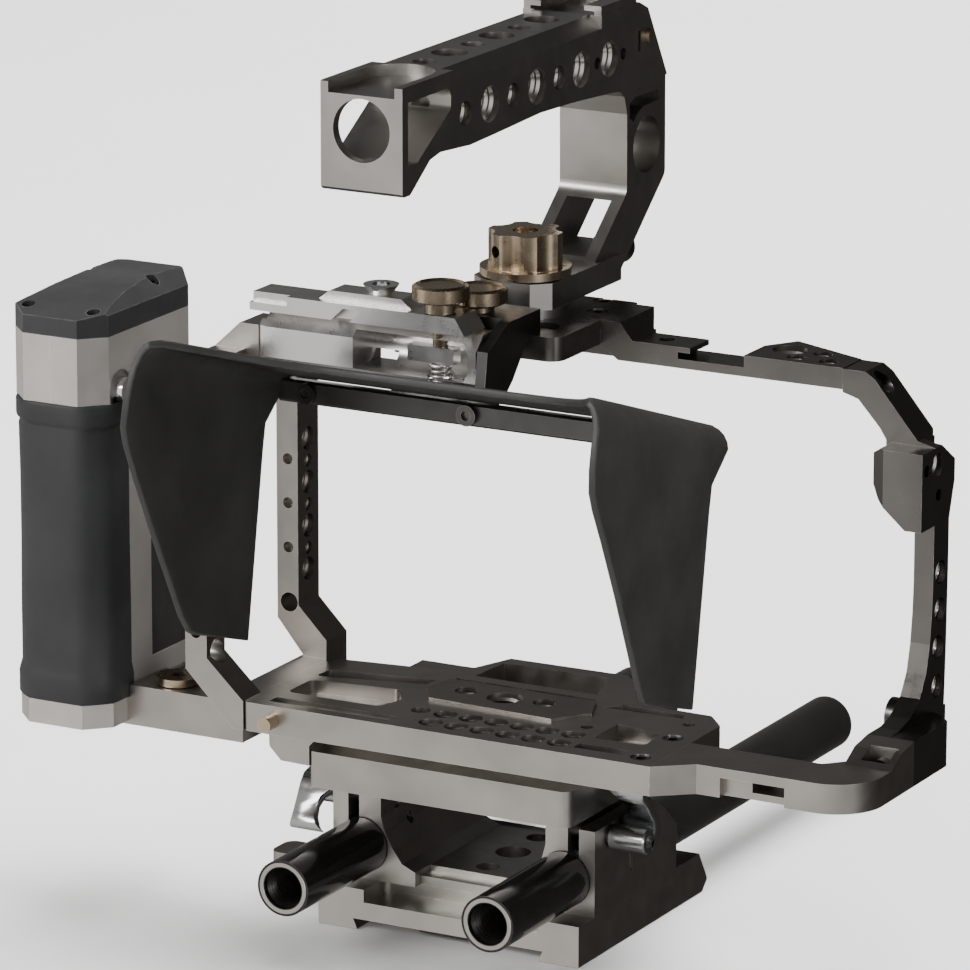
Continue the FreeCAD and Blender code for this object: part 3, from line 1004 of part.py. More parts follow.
build()
doc.recompute()

os.makedirs("parts", exist_ok=True)
for item in doc.Objects:
    if "Invalid" in item.State or "Error" in item.State:
        raise RuntimeError(f"{item.Name} ({item.Label}) did not recompute: {item.State}")
for item in NODES:
    shape = item.Shape
    if shape.isNull() or not shape.isValid() or not shape.Solids:
        raise RuntimeError(f"{item.Label} has no valid shape")
    shape.exportStep(f"parts/{item.Label}.step")
print(f"{len(NODES)} nodes")
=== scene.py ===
import json
import math

import bpy
from mathutils import Matrix, Vector


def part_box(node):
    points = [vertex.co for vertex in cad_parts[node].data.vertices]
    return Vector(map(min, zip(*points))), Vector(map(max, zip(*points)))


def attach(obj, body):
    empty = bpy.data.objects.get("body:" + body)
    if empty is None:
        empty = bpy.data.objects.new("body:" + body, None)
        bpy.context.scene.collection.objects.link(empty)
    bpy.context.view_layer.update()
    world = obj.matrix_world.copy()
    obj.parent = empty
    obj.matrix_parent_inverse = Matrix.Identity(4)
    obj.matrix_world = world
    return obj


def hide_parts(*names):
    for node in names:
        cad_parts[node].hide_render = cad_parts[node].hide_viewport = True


MM = 0.001

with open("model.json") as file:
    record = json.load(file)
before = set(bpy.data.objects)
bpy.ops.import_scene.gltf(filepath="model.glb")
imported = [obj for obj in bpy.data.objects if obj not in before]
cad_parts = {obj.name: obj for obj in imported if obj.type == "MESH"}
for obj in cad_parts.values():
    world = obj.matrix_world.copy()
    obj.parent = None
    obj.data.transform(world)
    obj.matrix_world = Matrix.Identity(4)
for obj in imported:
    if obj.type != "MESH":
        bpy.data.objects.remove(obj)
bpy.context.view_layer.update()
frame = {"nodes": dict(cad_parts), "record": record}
nodes = frame["nodes"]
slots = {part["node"]: part["material_slot"] for part in frame["record"]["subparts"]}


# ---------------------------------------------------------------- materials

# The Mix node's numbered sockets: its factor, its two colours and the colour it gives.
MIX_FACTOR, MIX_FIRST, MIX_SECOND, MIX_RESULT = 0, 6, 7, 2


class Tree:
    """A material's node tree with short calls for adding and linking nodes."""

    def __init__(self, name):
        self.material = bpy.data.materials.new(name)
        self.material.use_nodes = True
        self.tree = self.material.node_tree
        self.shader = self.tree.nodes["Principled BSDF"]

    def add(self, kind, **settings):
        new = self.tree.nodes.new(kind)
        for key, value in settings.items():
            setattr(new, key, value)
        return new

    def link(self, source, target):
        self.tree.links.new(source, target)

    def noise(self, scale, detail, stretch=None):
        """Noise in the object's own coordinates, in metres, stretched along an axis for a brushed grain."""
        texture = self.add("ShaderNodeTexNoise")
        texture.inputs["Scale"].default_value = scale
        texture.inputs["Detail"].default_value = detail
        where = self.add("ShaderNodeTexCoord").outputs["Object"]
        if stretch:
            mapping = self.add("ShaderNodeMapping")
            mapping.inputs["Scale"].default_value = stretch
            self.link(where, mapping.inputs["Vector"])
            where = mapping.outputs["Vector"]
        self.link(where, texture.inputs["Vector"])
        return texture.outputs["Fac"]

    def spread(self, value, low, high, out_low=0.0, out_high=1.0):
        """A value whose range from low to high is stretched to the range from out_low to out_high."""
        ranged = self.add("ShaderNodeMapRange")
        ranged.inputs["From Min"].default_value = low
        ranged.inputs["From Max"].default_value = high
        ranged.inputs["To Min"].default_value = out_low
        ranged.inputs["To Max"].default_value = out_high
        self.link(value, ranged.inputs["Value"])
        return ranged.outputs["Result"]

    def times(self, first, second):
        product = self.add("ShaderNodeMath", operation="MULTIPLY")
        self.link(first, product.inputs[0])
        self.link(second, product.inputs[1])
        return product.outputs["Value"]

    def mix(self, factor, first, second):
        """Two colours mixed by a factor; each is a tuple or another node's output."""
        blend = self.add("ShaderNodeMix", data_type="RGBA")
        for socket, value in ((blend.inputs[MIX_FIRST], first), (blend.inputs[MIX_SECOND], second)):
            if isinstance(value, tuple):
                socket.default_value = (*value, 1.0)
            else:
                self.link(value, socket)
        self.link(factor, blend.inputs[MIX_FACTOR])
        return blend.outputs[MIX_RESULT]

    def edges(self, radius):
        """1 on the object's edges within the radius and 0 on its flats."""
        bevel = self.add("ShaderNodeBevel", samples=4)
        bevel.inputs["Radius"].default_value = radius
        flat = self.add("ShaderNodeNewGeometry")
        dot = self.add("ShaderNodeVectorMath", operation="DOT_PRODUCT")
        self.link(bevel.outputs["Normal"], dot.inputs[0])
        self.link(flat.outputs["Normal"], dot.inputs[1])
        return self.spread(dot.outputs["Value"], 0.99, 0.85)

    def worn_and_highlit_edges(self, radius, scale, low, high):
        """Where the surface is worn, and where a highlight is painted: in patches along its edges, within a
        radius.
        """
        patches = self.spread(self.noise(scale, 3), low, high, 0.1, 0.7)
        return self.times(self.edges(radius), patches)

    def clouded(self, color, contrast, noise):
        """A colour that drifts between a darker and a lighter shade of itself."""
        dark = tuple((1 - contrast) * c for c in color)
        light = tuple(min(1.0, (1 + contrast) * c) for c in color)
        return self.mix(self.spread(noise, 0.35, 0.65), dark, light)

    def paint(self, base, worn_and_highlit, worn_and_highlit_edges):
        """The base colour, with the paler edge colour where the edges are worn and where a highlight is
        painted on them.
        """
        self.link(self.mix(worn_and_highlit_edges, base, worn_and_highlit), self.shader.inputs["Base Color"])

    def gloss(self, noise, low, high):
        """A roughness that wavers between low and high."""
        self.link(self.spread(noise, 0.3, 0.7, low, high), self.shader.inputs["Roughness"])

    def bump(self, height, strength, distance):
        bump = self.add("ShaderNodeBump")
        bump.inputs["Strength"].default_value = strength
        bump.inputs["Distance"].default_value = distance
        self.link(height, bump.inputs["Height"])
        self.link(bump.outputs["Normal"], self.shader.inputs["Normal"])


def metal(name, color, rough, edge_wear_and_highlight=None, grain=2600, bump=0.12, stretch=None, metallic=1.0):
    """Anodised or machined metal: slight cloudiness, a blasted or brushed grain and bright edges that are
    partly wear and partly a painted highlight.
    """
    tree = Tree(name)
    worn_and_highlit = edge_wear_and_highlight or tuple(min(1.0, 1.5 * c + 0.1) for c in color)
    base = tree.clouded(color, 0.08, tree.noise(60, 2))
    tree.paint(base, worn_and_highlit, tree.worn_and_highlit_edges(0.3 * MM, 500, 0.4, 0.62))
    tree.gloss(tree.noise(220, 4), rough - 0.05, rough + 0.06)
    tree.shader.inputs["Metallic"].default_value = metallic
    tree.bump(tree.noise(grain, 2, stretch), bump, 0.05 * MM)
    return tree.material


def plastic(name, color, rough, grain=1500, bump=0.25, edge_wear_and_highlight=0.1):
    """Moulded plastic or rubber: a fine texture, a cloudy sheen and slightly paler edges that are partly wear
    and partly a painted highlight.
    """
    tree = Tree(name)
    worn_and_highlit = tuple(min(1.0, c + edge_wear_and_highlight) for c in color)
    base = tree.clouded(color, 0.15, tree.noise(45, 3))
    tree.paint(base, worn_and_highlit, tree.worn_and_highlit_edges(0.5 * MM, 300, 0.35, 0.65))
    tree.gloss(tree.noise(150, 4), rough - 0.06, rough + 0.06)
    tree.shader.inputs["Specular IOR Level"].default_value = 0.4
    tree.bump(tree.noise(grain, 4), bump, 0.1 * MM)
    return tree.material


# One material for each slot of the record, and a darker copy of the cage metal that paints shade on the upper
# cage's pieces.
MATERIALS = {
    # The pale edge colours here are partly wear and partly a painted highlight along the edges.
    "cage_metal": metal("cage_metal", (0.40, 0.375, 0.35), 0.34, edge_wear_and_highlight=(0.85, 0.82, 0.78)),
    # Painted shade: a darker copy of cage_metal for the upper cage's pieces.
    "cage_painted_shade": metal("cage_painted_shade", (0.17, 0.16, 0.15), 0.3, edge_wear_and_highlight=(0.6, 0.58, 0.55)),
    "plate_metal": metal("plate_metal", (0.33, 0.305, 0.28), 0.34, edge_wear_and_highlight=(0.85, 0.82, 0.78)),
    "base_metal": metal("base_metal", (0.42, 0.40, 0.375), 0.36),
    "handle_metal": metal("handle_metal", (0.40, 0.385, 0.365), 0.34),
    "bronze": metal("bronze", (0.50, 0.40, 0.29), 0.26, edge_wear_and_highlight=(0.95, 0.86, 0.72), bump=0.06),
    "rod_black": metal("rod_black", (0.012, 0.0115, 0.011), 0.14, edge_wear_and_highlight=(0.1, 0.1, 0.1), bump=0.02,
                       metallic=0.3),
    "lever_metal": metal("lever_metal", (0.42, 0.43, 0.435), 0.22, bump=0.05, stretch=(0.05, 1.0, 1.0)),
    "steel": metal("steel", (0.72, 0.70, 0.67), 0.22, bump=0.03),
    "screw_black": metal("screw_black", (0.10, 0.097, 0.092), 0.3, edge_wear_and_highlight=(0.5, 0.48, 0.46), bump=0.05),
    "chrome": metal("chrome", (0.85, 0.85, 0.86), 0.1, bump=0.01),
    # Painted highlight: the hood's paler edge colour is raised so its rim edges show a highlight, besides
    # wear.
    "hood_plastic": plastic("hood_plastic", (0.021, 0.0203, 0.0196), 0.48, bump=0.12, edge_wear_and_highlight=0.3),
    "hood_metal": metal("hood_metal", (0.10, 0.098, 0.095), 0.4, edge_wear_and_highlight=(0.5, 0.5, 0.5)),
    "grip_rubber": plastic("grip_rubber", (0.02, 0.0205, 0.0215), 0.55, grain=900, bump=0.3, edge_wear_and_highlight=0.05),
    "cap_plastic": plastic("cap_plastic", (0.026, 0.026, 0.027), 0.42, edge_wear_and_highlight=0.12),
    "shell_metal": metal("shell_metal", (0.50, 0.475, 0.45), 0.42, grain=1800, bump=0.2, metallic=0.7),
    "clamp_metal": metal("clamp_metal", (0.66, 0.65, 0.635), 0.3, edge_wear_and_highlight=(0.9, 0.89, 0.88), bump=0.06),
    "panel_dark": plastic("panel_dark", (0.03, 0.027, 0.024), 0.5),
    "cell_wrap": plastic("cell_wrap", (0.05, 0.12, 0.3), 0.3),
    "contact_brass": metal("contact_brass", (0.7, 0.58, 0.3), 0.3),
    "board_green": plastic("board_green", (0.02, 0.14, 0.06), 0.35),
}


# ---------------------------------------------------------------- mesh helpers

# What turns a form made along Z onto each axis.
AXES = {
    "X": Matrix.Rotation(math.radians(90), 3, "Y"),
    "Y": Matrix.Rotation(math.radians(-90), 3, "X"),
    "Z": Matrix.Identity(3),
}


def placed(name, data):
    """A new object in the scene."""
    new = bpy.data.objects.new(name, data)
    bpy.context.collection.objects.link(new)
    return new


def smoothed(mesh):
    for face in mesh.polygons:
        face.use_smooth = True


def piece(name, mesh, body, slot, smooth=40):
    """A new object that rides on a body, finished in one of the record's slots."""
    new = placed(name, mesh)
    mesh.materials.append(MATERIALS[slot])
    smoothed(mesh)
    mesh.set_sharp_from_angle(angle=math.radians(smooth))
    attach(new, body)
    return new


def modify(thing, kind, **settings):
    added = thing.modifiers.new(kind.lower(), kind)
    for key, value in settings.items():
        setattr(added, key, value)


def soften(thing, width, segments, sharper, **settings):
    """Rounds the edges that are sharper than an angle in degrees, over a width in mm."""
    modify(thing, "BEVEL", width=width * MM, segments=segments, limit_method="ANGLE",
           angle_limit=math.radians(sharper), **settings)


def between(start, end, part):
    return start + (end - start) * part


def box(node):
    """A node's lowest and highest corners at rest, in mm."""
    low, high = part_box(node)
    return low / MM, high / MM


def middle(node):
    low, high = box(node)
    return (low + high) / 2


def loft(name, rows, closed=False, caps=False):
    """A mesh from rows of points in mm; closed joins each row's ends, caps fills the first and last row."""
    mesh = bpy.data.meshes.new(name)
    width = len(rows[0])
    verts = [Vector(point) * MM for row in rows for point in row]
    faces = []
    for r in range(len(rows) - 1):
        for c in range(width if closed else width - 1):
            d = (c + 1) % width
            faces.append((r * width + c, r * width + d, (r + 1) * width + d, (r + 1) * width + c))
    if caps:
        faces.append(tuple(reversed(range(width))))
        faces.append(tuple((len(rows) - 1) * width + c for c in range(width)))
    mesh.from_pydata(verts, [], faces)
    mesh.update()
    return mesh


def on_ring(centre, axis, radius, angle, along):
    """The point at an angle round an axis and a distance along it."""
    return Vector(centre) + AXES[axis] @ Vector((radius * math.cos(angle), radius * math.sin(angle), along))


def ring(centre, axis, radii, along):
    """A closed ring of points round an axis; radii holds one radius per point."""
    turn = 2 * math.pi / len(radii)
    return [on_ring(centre, axis, radius, turn * step, along) for step, radius in enumerate(radii)]


def turned_rows(centre, axis, profile, steps=64):
    """The rings of a lathe form; profile holds (radius, distance along the axis) pairs."""
    return [ring(centre, axis, [radius] * steps, along) for radius, along in profile]


def turned_ring(name, centre, axis, inner, outer, deep):
    """A flat ring that faces back along the axis, with its two short walls."""
    edge = min(0.2, deep / 2)
    profile = [(inner, deep), (inner, edge), (inner + edge, 0.0),
               (outer - edge, 0.0), (outer, edge), (outer, deep)]
    return loft(name, turned_rows(centre, axis, profile), closed=True)


def knurled(name, centre, axis, below, radius, low, high, above, teeth=32, depth=0.45):
    """A turned form whose rim from low to high is cut with a diamond knurl."""
    steps = 2 * teeth
    rows = turned_rows(centre, axis, below, steps)
    count = 2 * max(2, round((high - low) * teeth / (2 * math.pi * radius))) + 1
    for row in range(count):
        radii = [radius - (depth if (step + row) % 2 else 0.0) for step in range(steps)]
        rows.append(ring(centre, axis, radii, between(low, high, row / (count - 1))))
    rows += turned_rows(centre, axis, above, steps)
    return loft(name, rows, closed=True, caps=True)


def thread(name, start, axis, radius, length, body, slot, pitch, depth):
    """The turned thread inside a hole: a helical V groove whose crests stand in from the hole's wall."""
    steps, mouth, into_wall = 32, 0.3, 0.02
    rows = []
    along = mouth
    while along < length - pitch:
        reach = radius + into_wall - depth * (len(rows) % 2)
        rows.append([on_ring(start, axis, reach, 2 * math.pi * step / steps, along + pitch * step / steps)
                     for step in range(steps + 1)])
        along += pitch / 2
    piece(name, loft(name, rows), body, slot, smooth=20)


def rounded(corners, radius, steps=4):
    """An open path through corners, each turned into a small curve; the ends stay put."""
    points = [Vector(corners[0])]
    for before, here, after in zip(corners, corners[1:], corners[2:]):
        spot = Vector(here)
        back = Vector(before) - spot
        on = Vector(after) - spot
        reach = min(radius, back.length * 0.45, on.length * 0.45)
        back, on = back.normalized() * reach, on.normalized() * reach
        for step in range(steps + 1):
            t = step / steps
            points.append(spot + back * (1 - t) ** 2 + on * t ** 2)
    points.append(Vector(corners[-1]))
    return points


def chamfered(low, high, cut):
    """A rectangle's eight points, anticlockwise from its low corner, with its corners cut off."""
    (left, bottom), (right, top) = low, high
    return [(left, bottom + cut), (left + cut, bottom), (right - cut, bottom), (right, bottom + cut),
            (right, top - cut), (right - cut, top), (left + cut, top), (left, top - cut)]


# ---------------------------------------------------------------- carried-over parts

# How widely the edges are rounded, in mm: EDGE, unless the node is named in BEVEL or FINE.
EDGE, FINE_EDGE = 0.3, 0.12
BEVEL = {"side_cap": 0.8, "drive_clamp_body": 0.7, "drive_clamp_cover": 0.5, "top_handle": 0.6,
         "side_base": 0.6, "qr_receiver": 0.6, "rod_left": 0.5, "rod_right": 0.5, "handle_arm": 0.5,
         "cage_right_arm": 0.5, "cage_lower_arm": 0.5, "side_shell_left": 0.5, "side_shell_right": 0.5,
         "base_plate": 0.45}
FINE = {"base_lock_slider", "qr_jaw_bolts", "cage_joint_screws", "drive_clamp_spring", "hood_pin",
        "hood_screws", "side_cap_screws", "arm_base_screws", "cage_screws", "receiver_screws", "side_panel",
        "circuit_board", "battery_contacts"}

# Painted shade: the upper cage's pieces take the darker copy of the cage metal, for the light that falls off
# there.
PAINTED_SHADE_PARTS = {"cage_top_plate", "cage_top_bar", "cage_right_arm"}

for name, thing in nodes.items():
    thing.data.materials.clear()
    thing.data.materials.append(MATERIALS["cage_painted_shade" if name in PAINTED_SHADE_PARTS else slots[name]])
    modify(thing, "DECIMATE", decimate_type="DISSOLVE", angle_limit=math.radians(1.0))
    soften(thing, FINE_EDGE if name in FINE else BEVEL.get(name, EDGE), 2, 35,
           use_clamp_overlap=False, harden_normals=True)


# ---------------------------------------------------------------- sunhood

# A flap's free edge from its foot to its head: y, z and how far it leans outward there.
FLAP_EDGE = [(-100.5, 95.6, 0.2), (-103.6, 97.2, 0.6), (-106.6, 101.8, 1.0), (-112.5, 114.0, 1.4),
             (-119.5, 128.4, 1.8), (-126.5, 142.8, 1.9), (-131.0, 152.2, 1.7), (-132.3, 156.6, 1.5),
             (-131.6, 162.0, 1.2), (-129.8, 168.0, 0.9)]
# The line on the hood's bar that a flap leaves from, and the fillet in its last stretch under the roof.
FLAP_FOOT, FLAP_HEAD = (-76.0, 87.8), (-65.6, 150.0)
FLAP_FILLET, FLAP_FILLET_FROM = 8.0, 0.86
FLAP_STAND_OFF = 0.9
# Where the roof leaves the bar, its slope, and its free edge: front at the sides and cut back between them.
ROOF_Y, ROOF_Z, ROOF_SLOPE = -57.6, 154.7, 0.334
ROOF_FRONT, ROOF_CUT, ROOF_CUT_REACH, ROOF_CUT_CURVE = -125.8, 32.5, 15.0, 1.5
ROOF_INSET, ROOF_STEPS = 3.0, 60
# The corner between a flap and the roof: how far it turns inward, leans outward at its free edge and rises.
CORNER_IN, CORNER_LEAN, CORNER_RISE, CORNER_ANGLES = 4.4, 0.8, 4.6, (20, 40, 60, 80)
# Where the corner's free edge starts, and how far it runs back and up round the corner.
RIM_Y, RIM_Z, RIM_BACK, RIM_RISE = -129.6, 168.4, 3.6, 8.6
HOOD_STEPS, HOOD_BULGE, HOOD_THICKNESS = 12, 0.5, 1.9


def hood():
    """The hood's shell: two flaps and a cut-back roof in one sheet, from the bar to the free rim."""
    low, high = box("hood_frame")
    left, right = low.x, high.x
    roots, rim = [], []

    def flap(x, side, order):
        for index in order:
            part = index / (len(FLAP_EDGE) - 1)
            y, z, flare = FLAP_EDGE[index]
            fillet = FLAP_FILLET * max(0.0, (part - FLAP_FILLET_FROM) / (1 - FLAP_FILLET_FROM)) ** 2
            roots.append((x, between(FLAP_FOOT[0], FLAP_HEAD[0], part) + fillet,
                          between(FLAP_FOOT[1], FLAP_HEAD[1], part)))
            rim.append((x + side * flare, y, z))

    def corner(x, side, angles):
        for angle in angles:
            a = math.radians(angle)
            inward = CORNER_IN * (1 - math.cos(a))
            roots.append((x - side * inward, ROOF_Y, FLAP_HEAD[1] + CORNER_RISE * math.sin(a)))
            rim.append((x + side * (CORNER_LEAN - inward), RIM_Y + RIM_BACK * math.sin(a),
                        RIM_Z + RIM_RISE * math.sin(a)))

    def roof():
        for step in range(ROOF_STEPS + 1):
            x = between(left + ROOF_INSET, right - ROOF_INSET, step / ROOF_STEPS)
            from_side = min(x - left, right - x)
            y = ROOF_FRONT + ROOF_CUT * (1 - math.exp(-(from_side / ROOF_CUT_REACH) ** ROOF_CUT_CURVE))
            roots.append((x, ROOF_Y, ROOF_Z))
            rim.append((x, y, ROOF_Z + (ROOF_Y - y) * ROOF_SLOPE))

    flap(left - FLAP_STAND_OFF, -1, range(len(FLAP_EDGE)))
    corner(left - FLAP_STAND_OFF, -1, CORNER_ANGLES)
    roof()
    corner(right + FLAP_STAND_OFF, 1, reversed(CORNER_ANGLES))
    flap(right + FLAP_STAND_OFF, 1, reversed(range(len(FLAP_EDGE))))

    rows = []
    for step in range(HOOD_STEPS + 1):
        part = step / HOOD_STEPS
        bulge = HOOD_BULGE * math.sin(math.pi * part)
        row = []
        for root, tip in zip(roots, rim):
            x, y, z = (between(a, b, part) for a, b in zip(root, tip))
            outward = 1 if x > right else -1 if x < left else 0
            row.append((x + outward * bulge, y, z))
        rows.append(row)
    shell = piece("hood_skin", loft("hood_skin", rows), "hood_body", "hood_plastic", smooth=60)
    modify(shell, "SOLIDIFY", thickness=HOOD_THICKNESS * MM, offset=0.0)
    soften(shell, 0.45, 3, 50)
    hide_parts("hood_shell")


hood()


def hood_bar():
    """The bar that carries the hood, with the two knuckles that turn on the hinge pin."""
    low, high = box("hood_frame")
    section = chamfered((-60.0, 147.5), (-56.8, 153.5), 0.6)
    bar_end, tab_end = 0.4, 0.3
    rows = [[(x, y, z) for y, z in section] for x in (low.x, low.x + bar_end, high.x - bar_end, high.x)]
    bar = piece("hood_bar", loft("hood_bar", rows, closed=True, caps=True), "hood_body", "hood_metal",
                smooth=30)
    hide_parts("hood_frame")
    hinge = middle("hood_pin")
    bore, wall, outer, cut = 1.55, 2.5, 2.9, 0.4
    for side, start, end in (("a", -6.0, 2.6), ("b", 14.9, 23.0)):
        profile = [(bore, start), (wall, start), (outer, start + cut),
                   (outer, end - cut), (wall, end), (bore, end)]
        rows = turned_rows((0, hinge.y, hinge.z), "X", profile, 48)
        piece(f"hood_knuckle_{side}", loft(f"hood_knuckle_{side}", rows, closed=True), "hood_body",
              "hood_metal")
        back, front, under, over = -57.2, -55.8, 149.6, 152.4
        rows = [[(x, back, under), (x, front, under), (x, front, over), (x, back, over)]
                for x in (start, start + tab_end, end - tab_end, end)]
        piece(f"hood_tab_{side}", loft(f"hood_tab_{side}", rows, closed=True, caps=True), "hood_body",
              "hood_metal")


hood_bar()


# ---------------------------------------------------------------- side handle

# The sleeve's outline up the handle: how much wider than its half sizes it is at each height.
SLEEVE = [(0.3, 58.1), (0.62, 58.5), (0.62, 64.2), (0.35, 65.6), (0.0, 67.2), (0.0, 82.0), (-0.15, 100.0),
          (-0.15, 118.0), (0.0, 131.6), (-0.25, 132.4), (-0.25, 132.9), (0.3, 133.5), (0.45, 134.2),
          (0.45, 138.2), (0.2, 138.9)]
SLEEVE_HALF_X, SLEEVE_HALF_Y = 14.25, 26.25


def side_handle():
    """The rubber sleeve: an octagonal wrap with a proud foot and top band, open over the metal land."""
    centre = middle("side_grip")
    cut, land_front = 6.0, -10.7
    rows = []
    for grow, z in SLEEVE:
        x, y = SLEEVE_HALF_X + grow, SLEEVE_HALF_Y + grow
        corners = [(x, y - cut - 0.1), (x - cut, y), (cut - x, y), (-x, y - cut), (-x, cut - y),
                   (cut - x, -y), (x - cut, -y), (x, cut - y), (x, land_front)]
        rows.append([(centre.x + spot.x, centre.y + spot.y, z) for spot in rounded(corners, 3.0)])
    sleeve = piece("grip_sleeve", loft("grip_sleeve", rows), "cage", "grip_rubber", smooth=60)
    modify(sleeve, "SOLIDIFY", thickness=1.4 * MM, offset=-1.0)
    soften(sleeve, 0.25, 2, 50)
    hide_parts("side_grip")


side_handle()


# ---------------------------------------------------------------- thumbscrews and levers

def thumbscrews():
    """The two thumbscrews: a shank, a neck from its shoulder up and a knurled head with a dished top."""
    shank, neck, rim, knurl, thick = 2.0, 4.1, 6.9, 7.4, 4.5
    for side, shoulder in (("near", 170.3), ("far", 167.9)):
        low, high = box(f"thumbscrew_{side}")
        axis, top, seat = (low + high) / 2, high.z, high.z - thick
        below = [(shank, low.z), (shank, shoulder), (neck, shoulder), (neck, seat), (rim - 0.7, seat),
                 (rim, seat + 0.35)]
        above = [(rim, top - 0.35), (rim - 0.6, top), (rim - 1.0, top), (rim - 1.4, top - 0.4)]
        mesh = knurled(f"thumb_head_{side}", (axis.x, axis.y, 0), "Z", below, knurl, seat + 0.6, top - 0.6,
                       above)
        screw = piece(f"thumb_head_{side}", mesh, f"thumb_{side}_body", "bronze", smooth=25)
        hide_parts(f"thumbscrew_{side}")


thumbscrews()

# The levers' pivot, and the wing's middle line from the hub to its lip: y, z and half its thickness there,
# before the lever is turned. Along X, the bolt starts at HUB_START and the hub at HUB_STEP.
PIVOT_Y, PIVOT_Z = -19.0, 31.0
WING = [(-1.5, 2.0, 1.2), (-3.6, 1.6, 1.7), (-5.2, 0.2, 1.9), (-5.9, -1.9, 1.7), (-5.2, -4.2, 1.5),
        (-3.8, -6.6, 1.35), (-2.4, -9.0, 1.25), (-1.1, -11.2, 1.25), (-0.1, -12.9, 1.5), (0.4, -14.0, 1.2),
        (0.6, -14.6, 0.5)]
HUB_START, HUB_STEP, LEVER_END, LEVER_EDGE = 25.0, 39.35, 50.0, 0.4
# The round notch in the wing's inner edge, and how far out from its middle that edge stands elsewhere.
NOTCH_X, NOTCH_RADIUS, NOTCH_Z, NOTCH_LEAST = 38.0, 5.4, -9.5, 1.7 ** 0.5


def lever_wing(name, sign, turn):
    """The curved wing's mesh: its middle line with a thickness, from the notch out to the lever's end."""
    cos, sin = math.cos(math.radians(turn)), math.sin(math.radians(turn))
    rows = []
    for index, (y, z, half) in enumerate(WING):
        before, after = WING[max(0, index - 1)], WING[min(len(WING) - 1, index + 1)]
        run = Vector((after[0] - before[0], after[1] - before[1])).normalized()
        reach = math.sqrt(max(0.0, NOTCH_RADIUS ** 2 - (z - NOTCH_Z) ** 2))
        inner = NOTCH_X + max(reach, NOTCH_LEAST)
        inner_flat, outer_flat, side = inner + LEVER_EDGE, LEVER_END - LEVER_EDGE, 0.7 * half
        row = []
        for x, away in ((inner_flat, -half), (outer_flat, -half), (LEVER_END, -side), (LEVER_END, side),
                        (outer_flat, half), (inner_flat, half), (inner, side), (inner, -side)):
            out_y, out_z = y - run.y * away, z + run.x * away
            row.append((sign * x, PIVOT_Y + out_y * cos - out_z * sin, PIVOT_Z + out_y * sin + out_z * cos))
        rows.append(row)
    return loft(name, rows, closed=True, caps=True)


def levers():
    """The two clamp levers: a hub on the pivot and a curved wing that ends in a rounded lip."""
    bolt, socket, hub_edge, hub_radius = 2.0, 1.7, 3.0, 3.4
    hub = [(bolt, HUB_START), (bolt, HUB_STEP), (hub_edge, HUB_STEP), (hub_radius, HUB_STEP + LEVER_EDGE),
           (hub_radius, LEVER_END - LEVER_EDGE), (hub_edge, LEVER_END), (socket, LEVER_END),
           (socket, LEVER_END - 1.1)]
    for side, sign, turn in (("left", -1, -61.0), ("right", 1, -169.0)):
        wing = piece(f"lever_wing_{side}", lever_wing(f"lever_wing_{side}", sign, turn),
                     f"lever_{side}_body", "lever_metal", smooth=45)
        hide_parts(f"rod_lever_{side}")
        profile = [(radius, sign * along) for radius, along in hub][::sign]
        rows = turned_rows((0, PIVOT_Y, PIVOT_Z), "X", profile)
        piece(f"lever_hub_{side}", loft(f"lever_hub_{side}", rows, closed=True, caps=True),
              f"lever_{side}_body", "lever_metal")


levers()


# ---------------------------------------------------------------- threads

# The taps: a hole's radius and its thread's pitch.
SMALL, MEDIUM, QUARTER_INCH = (1.8, 0.8), (2.6, 0.8), (3.175, 1.27)
ARM_END, THREE_EIGHTHS_INCH = (3.2, 1.27), (4.76, 1.59)
# Where the threads start along their axis, just inside the low face of each part.
PLATE_Z, LEFT_ARM_X, TOP_PLATE_Z, TOP_BAR_Z = 57.6, -62.9, 155.4, 151.7
HANDLE_X, ARM_END_X, STRUT_X = -11.4, 108.4, 112.9
# The rows' places: the left arm's in depth and the handle's in height.
LEFT_ARM_Y, HANDLE_Z = -9.5, 224.9


def tapped_holes():
    """Every tapped hole: where its thread starts, its axis, its tap, its depth and its slot."""
    holes = [((3.4 + 7.44 * column, y, PLATE_Z), "Z", QUARTER_INCH, 7.8, "plate_metal")
             for column in range(6) for y in (-51.4, -43.5)]
    for x, y, tap in ((11.1, -25.6, THREE_EIGHTHS_INCH), (-0.6, -24.6, QUARTER_INCH),
                      (22.3, -24.6, QUARTER_INCH)):
        holes.append(((x, y, PLATE_Z), "Z", tap, 8.4, "plate_metal"))
    for tap, heights in ((QUARTER_INCH, (87.9, 99.8, 111.7, 123.6)), (SMALL, (93.6, 105.6, 117.5))):
        holes += [((LEFT_ARM_X, LEFT_ARM_Y, z), "X", tap, 6.4, "cage_metal") for z in heights]
    for x, y, tap in ((12.6, -8.6, THREE_EIGHTHS_INCH), (-12.5, 0, QUARTER_INCH), (-12.5, 14, QUARTER_INCH)):
        holes.append(((x, y, TOP_PLATE_Z), "Z", tap, 6.2, "cage_metal"))
    for x, y, tap in ((71.8, 16.4, THREE_EIGHTHS_INCH), (76.7, 9.6, MEDIUM), (81.3, 16.0, MEDIUM),
                      (85.9, 9.6, MEDIUM)):
        holes.append(((x, y, TOP_BAR_Z), "Z", tap, 5.4, "cage_metal"))
    for tap, places in ((QUARTER_INCH, (-48.0, -22.6, 2.4)), (THREE_EIGHTHS_INCH, (-35.0, -9.8, 14.6, 30.3))):
        holes += [((HANDLE_X, y, HANDLE_Z), "X", tap, 22.8, "steel") for y in places]
    holes.append(((ARM_END_X, 6.1, 134.7), "X", ARM_END, 9.8, "steel"))
    for y, z in ((9.4, 105.8), (9.4, 95.9), (8.6, 86.1), (8.4, 75.8)):
        holes.append(((STRUT_X, y, z), "X", QUARTER_INCH, 5.3, "steel"))
    return holes


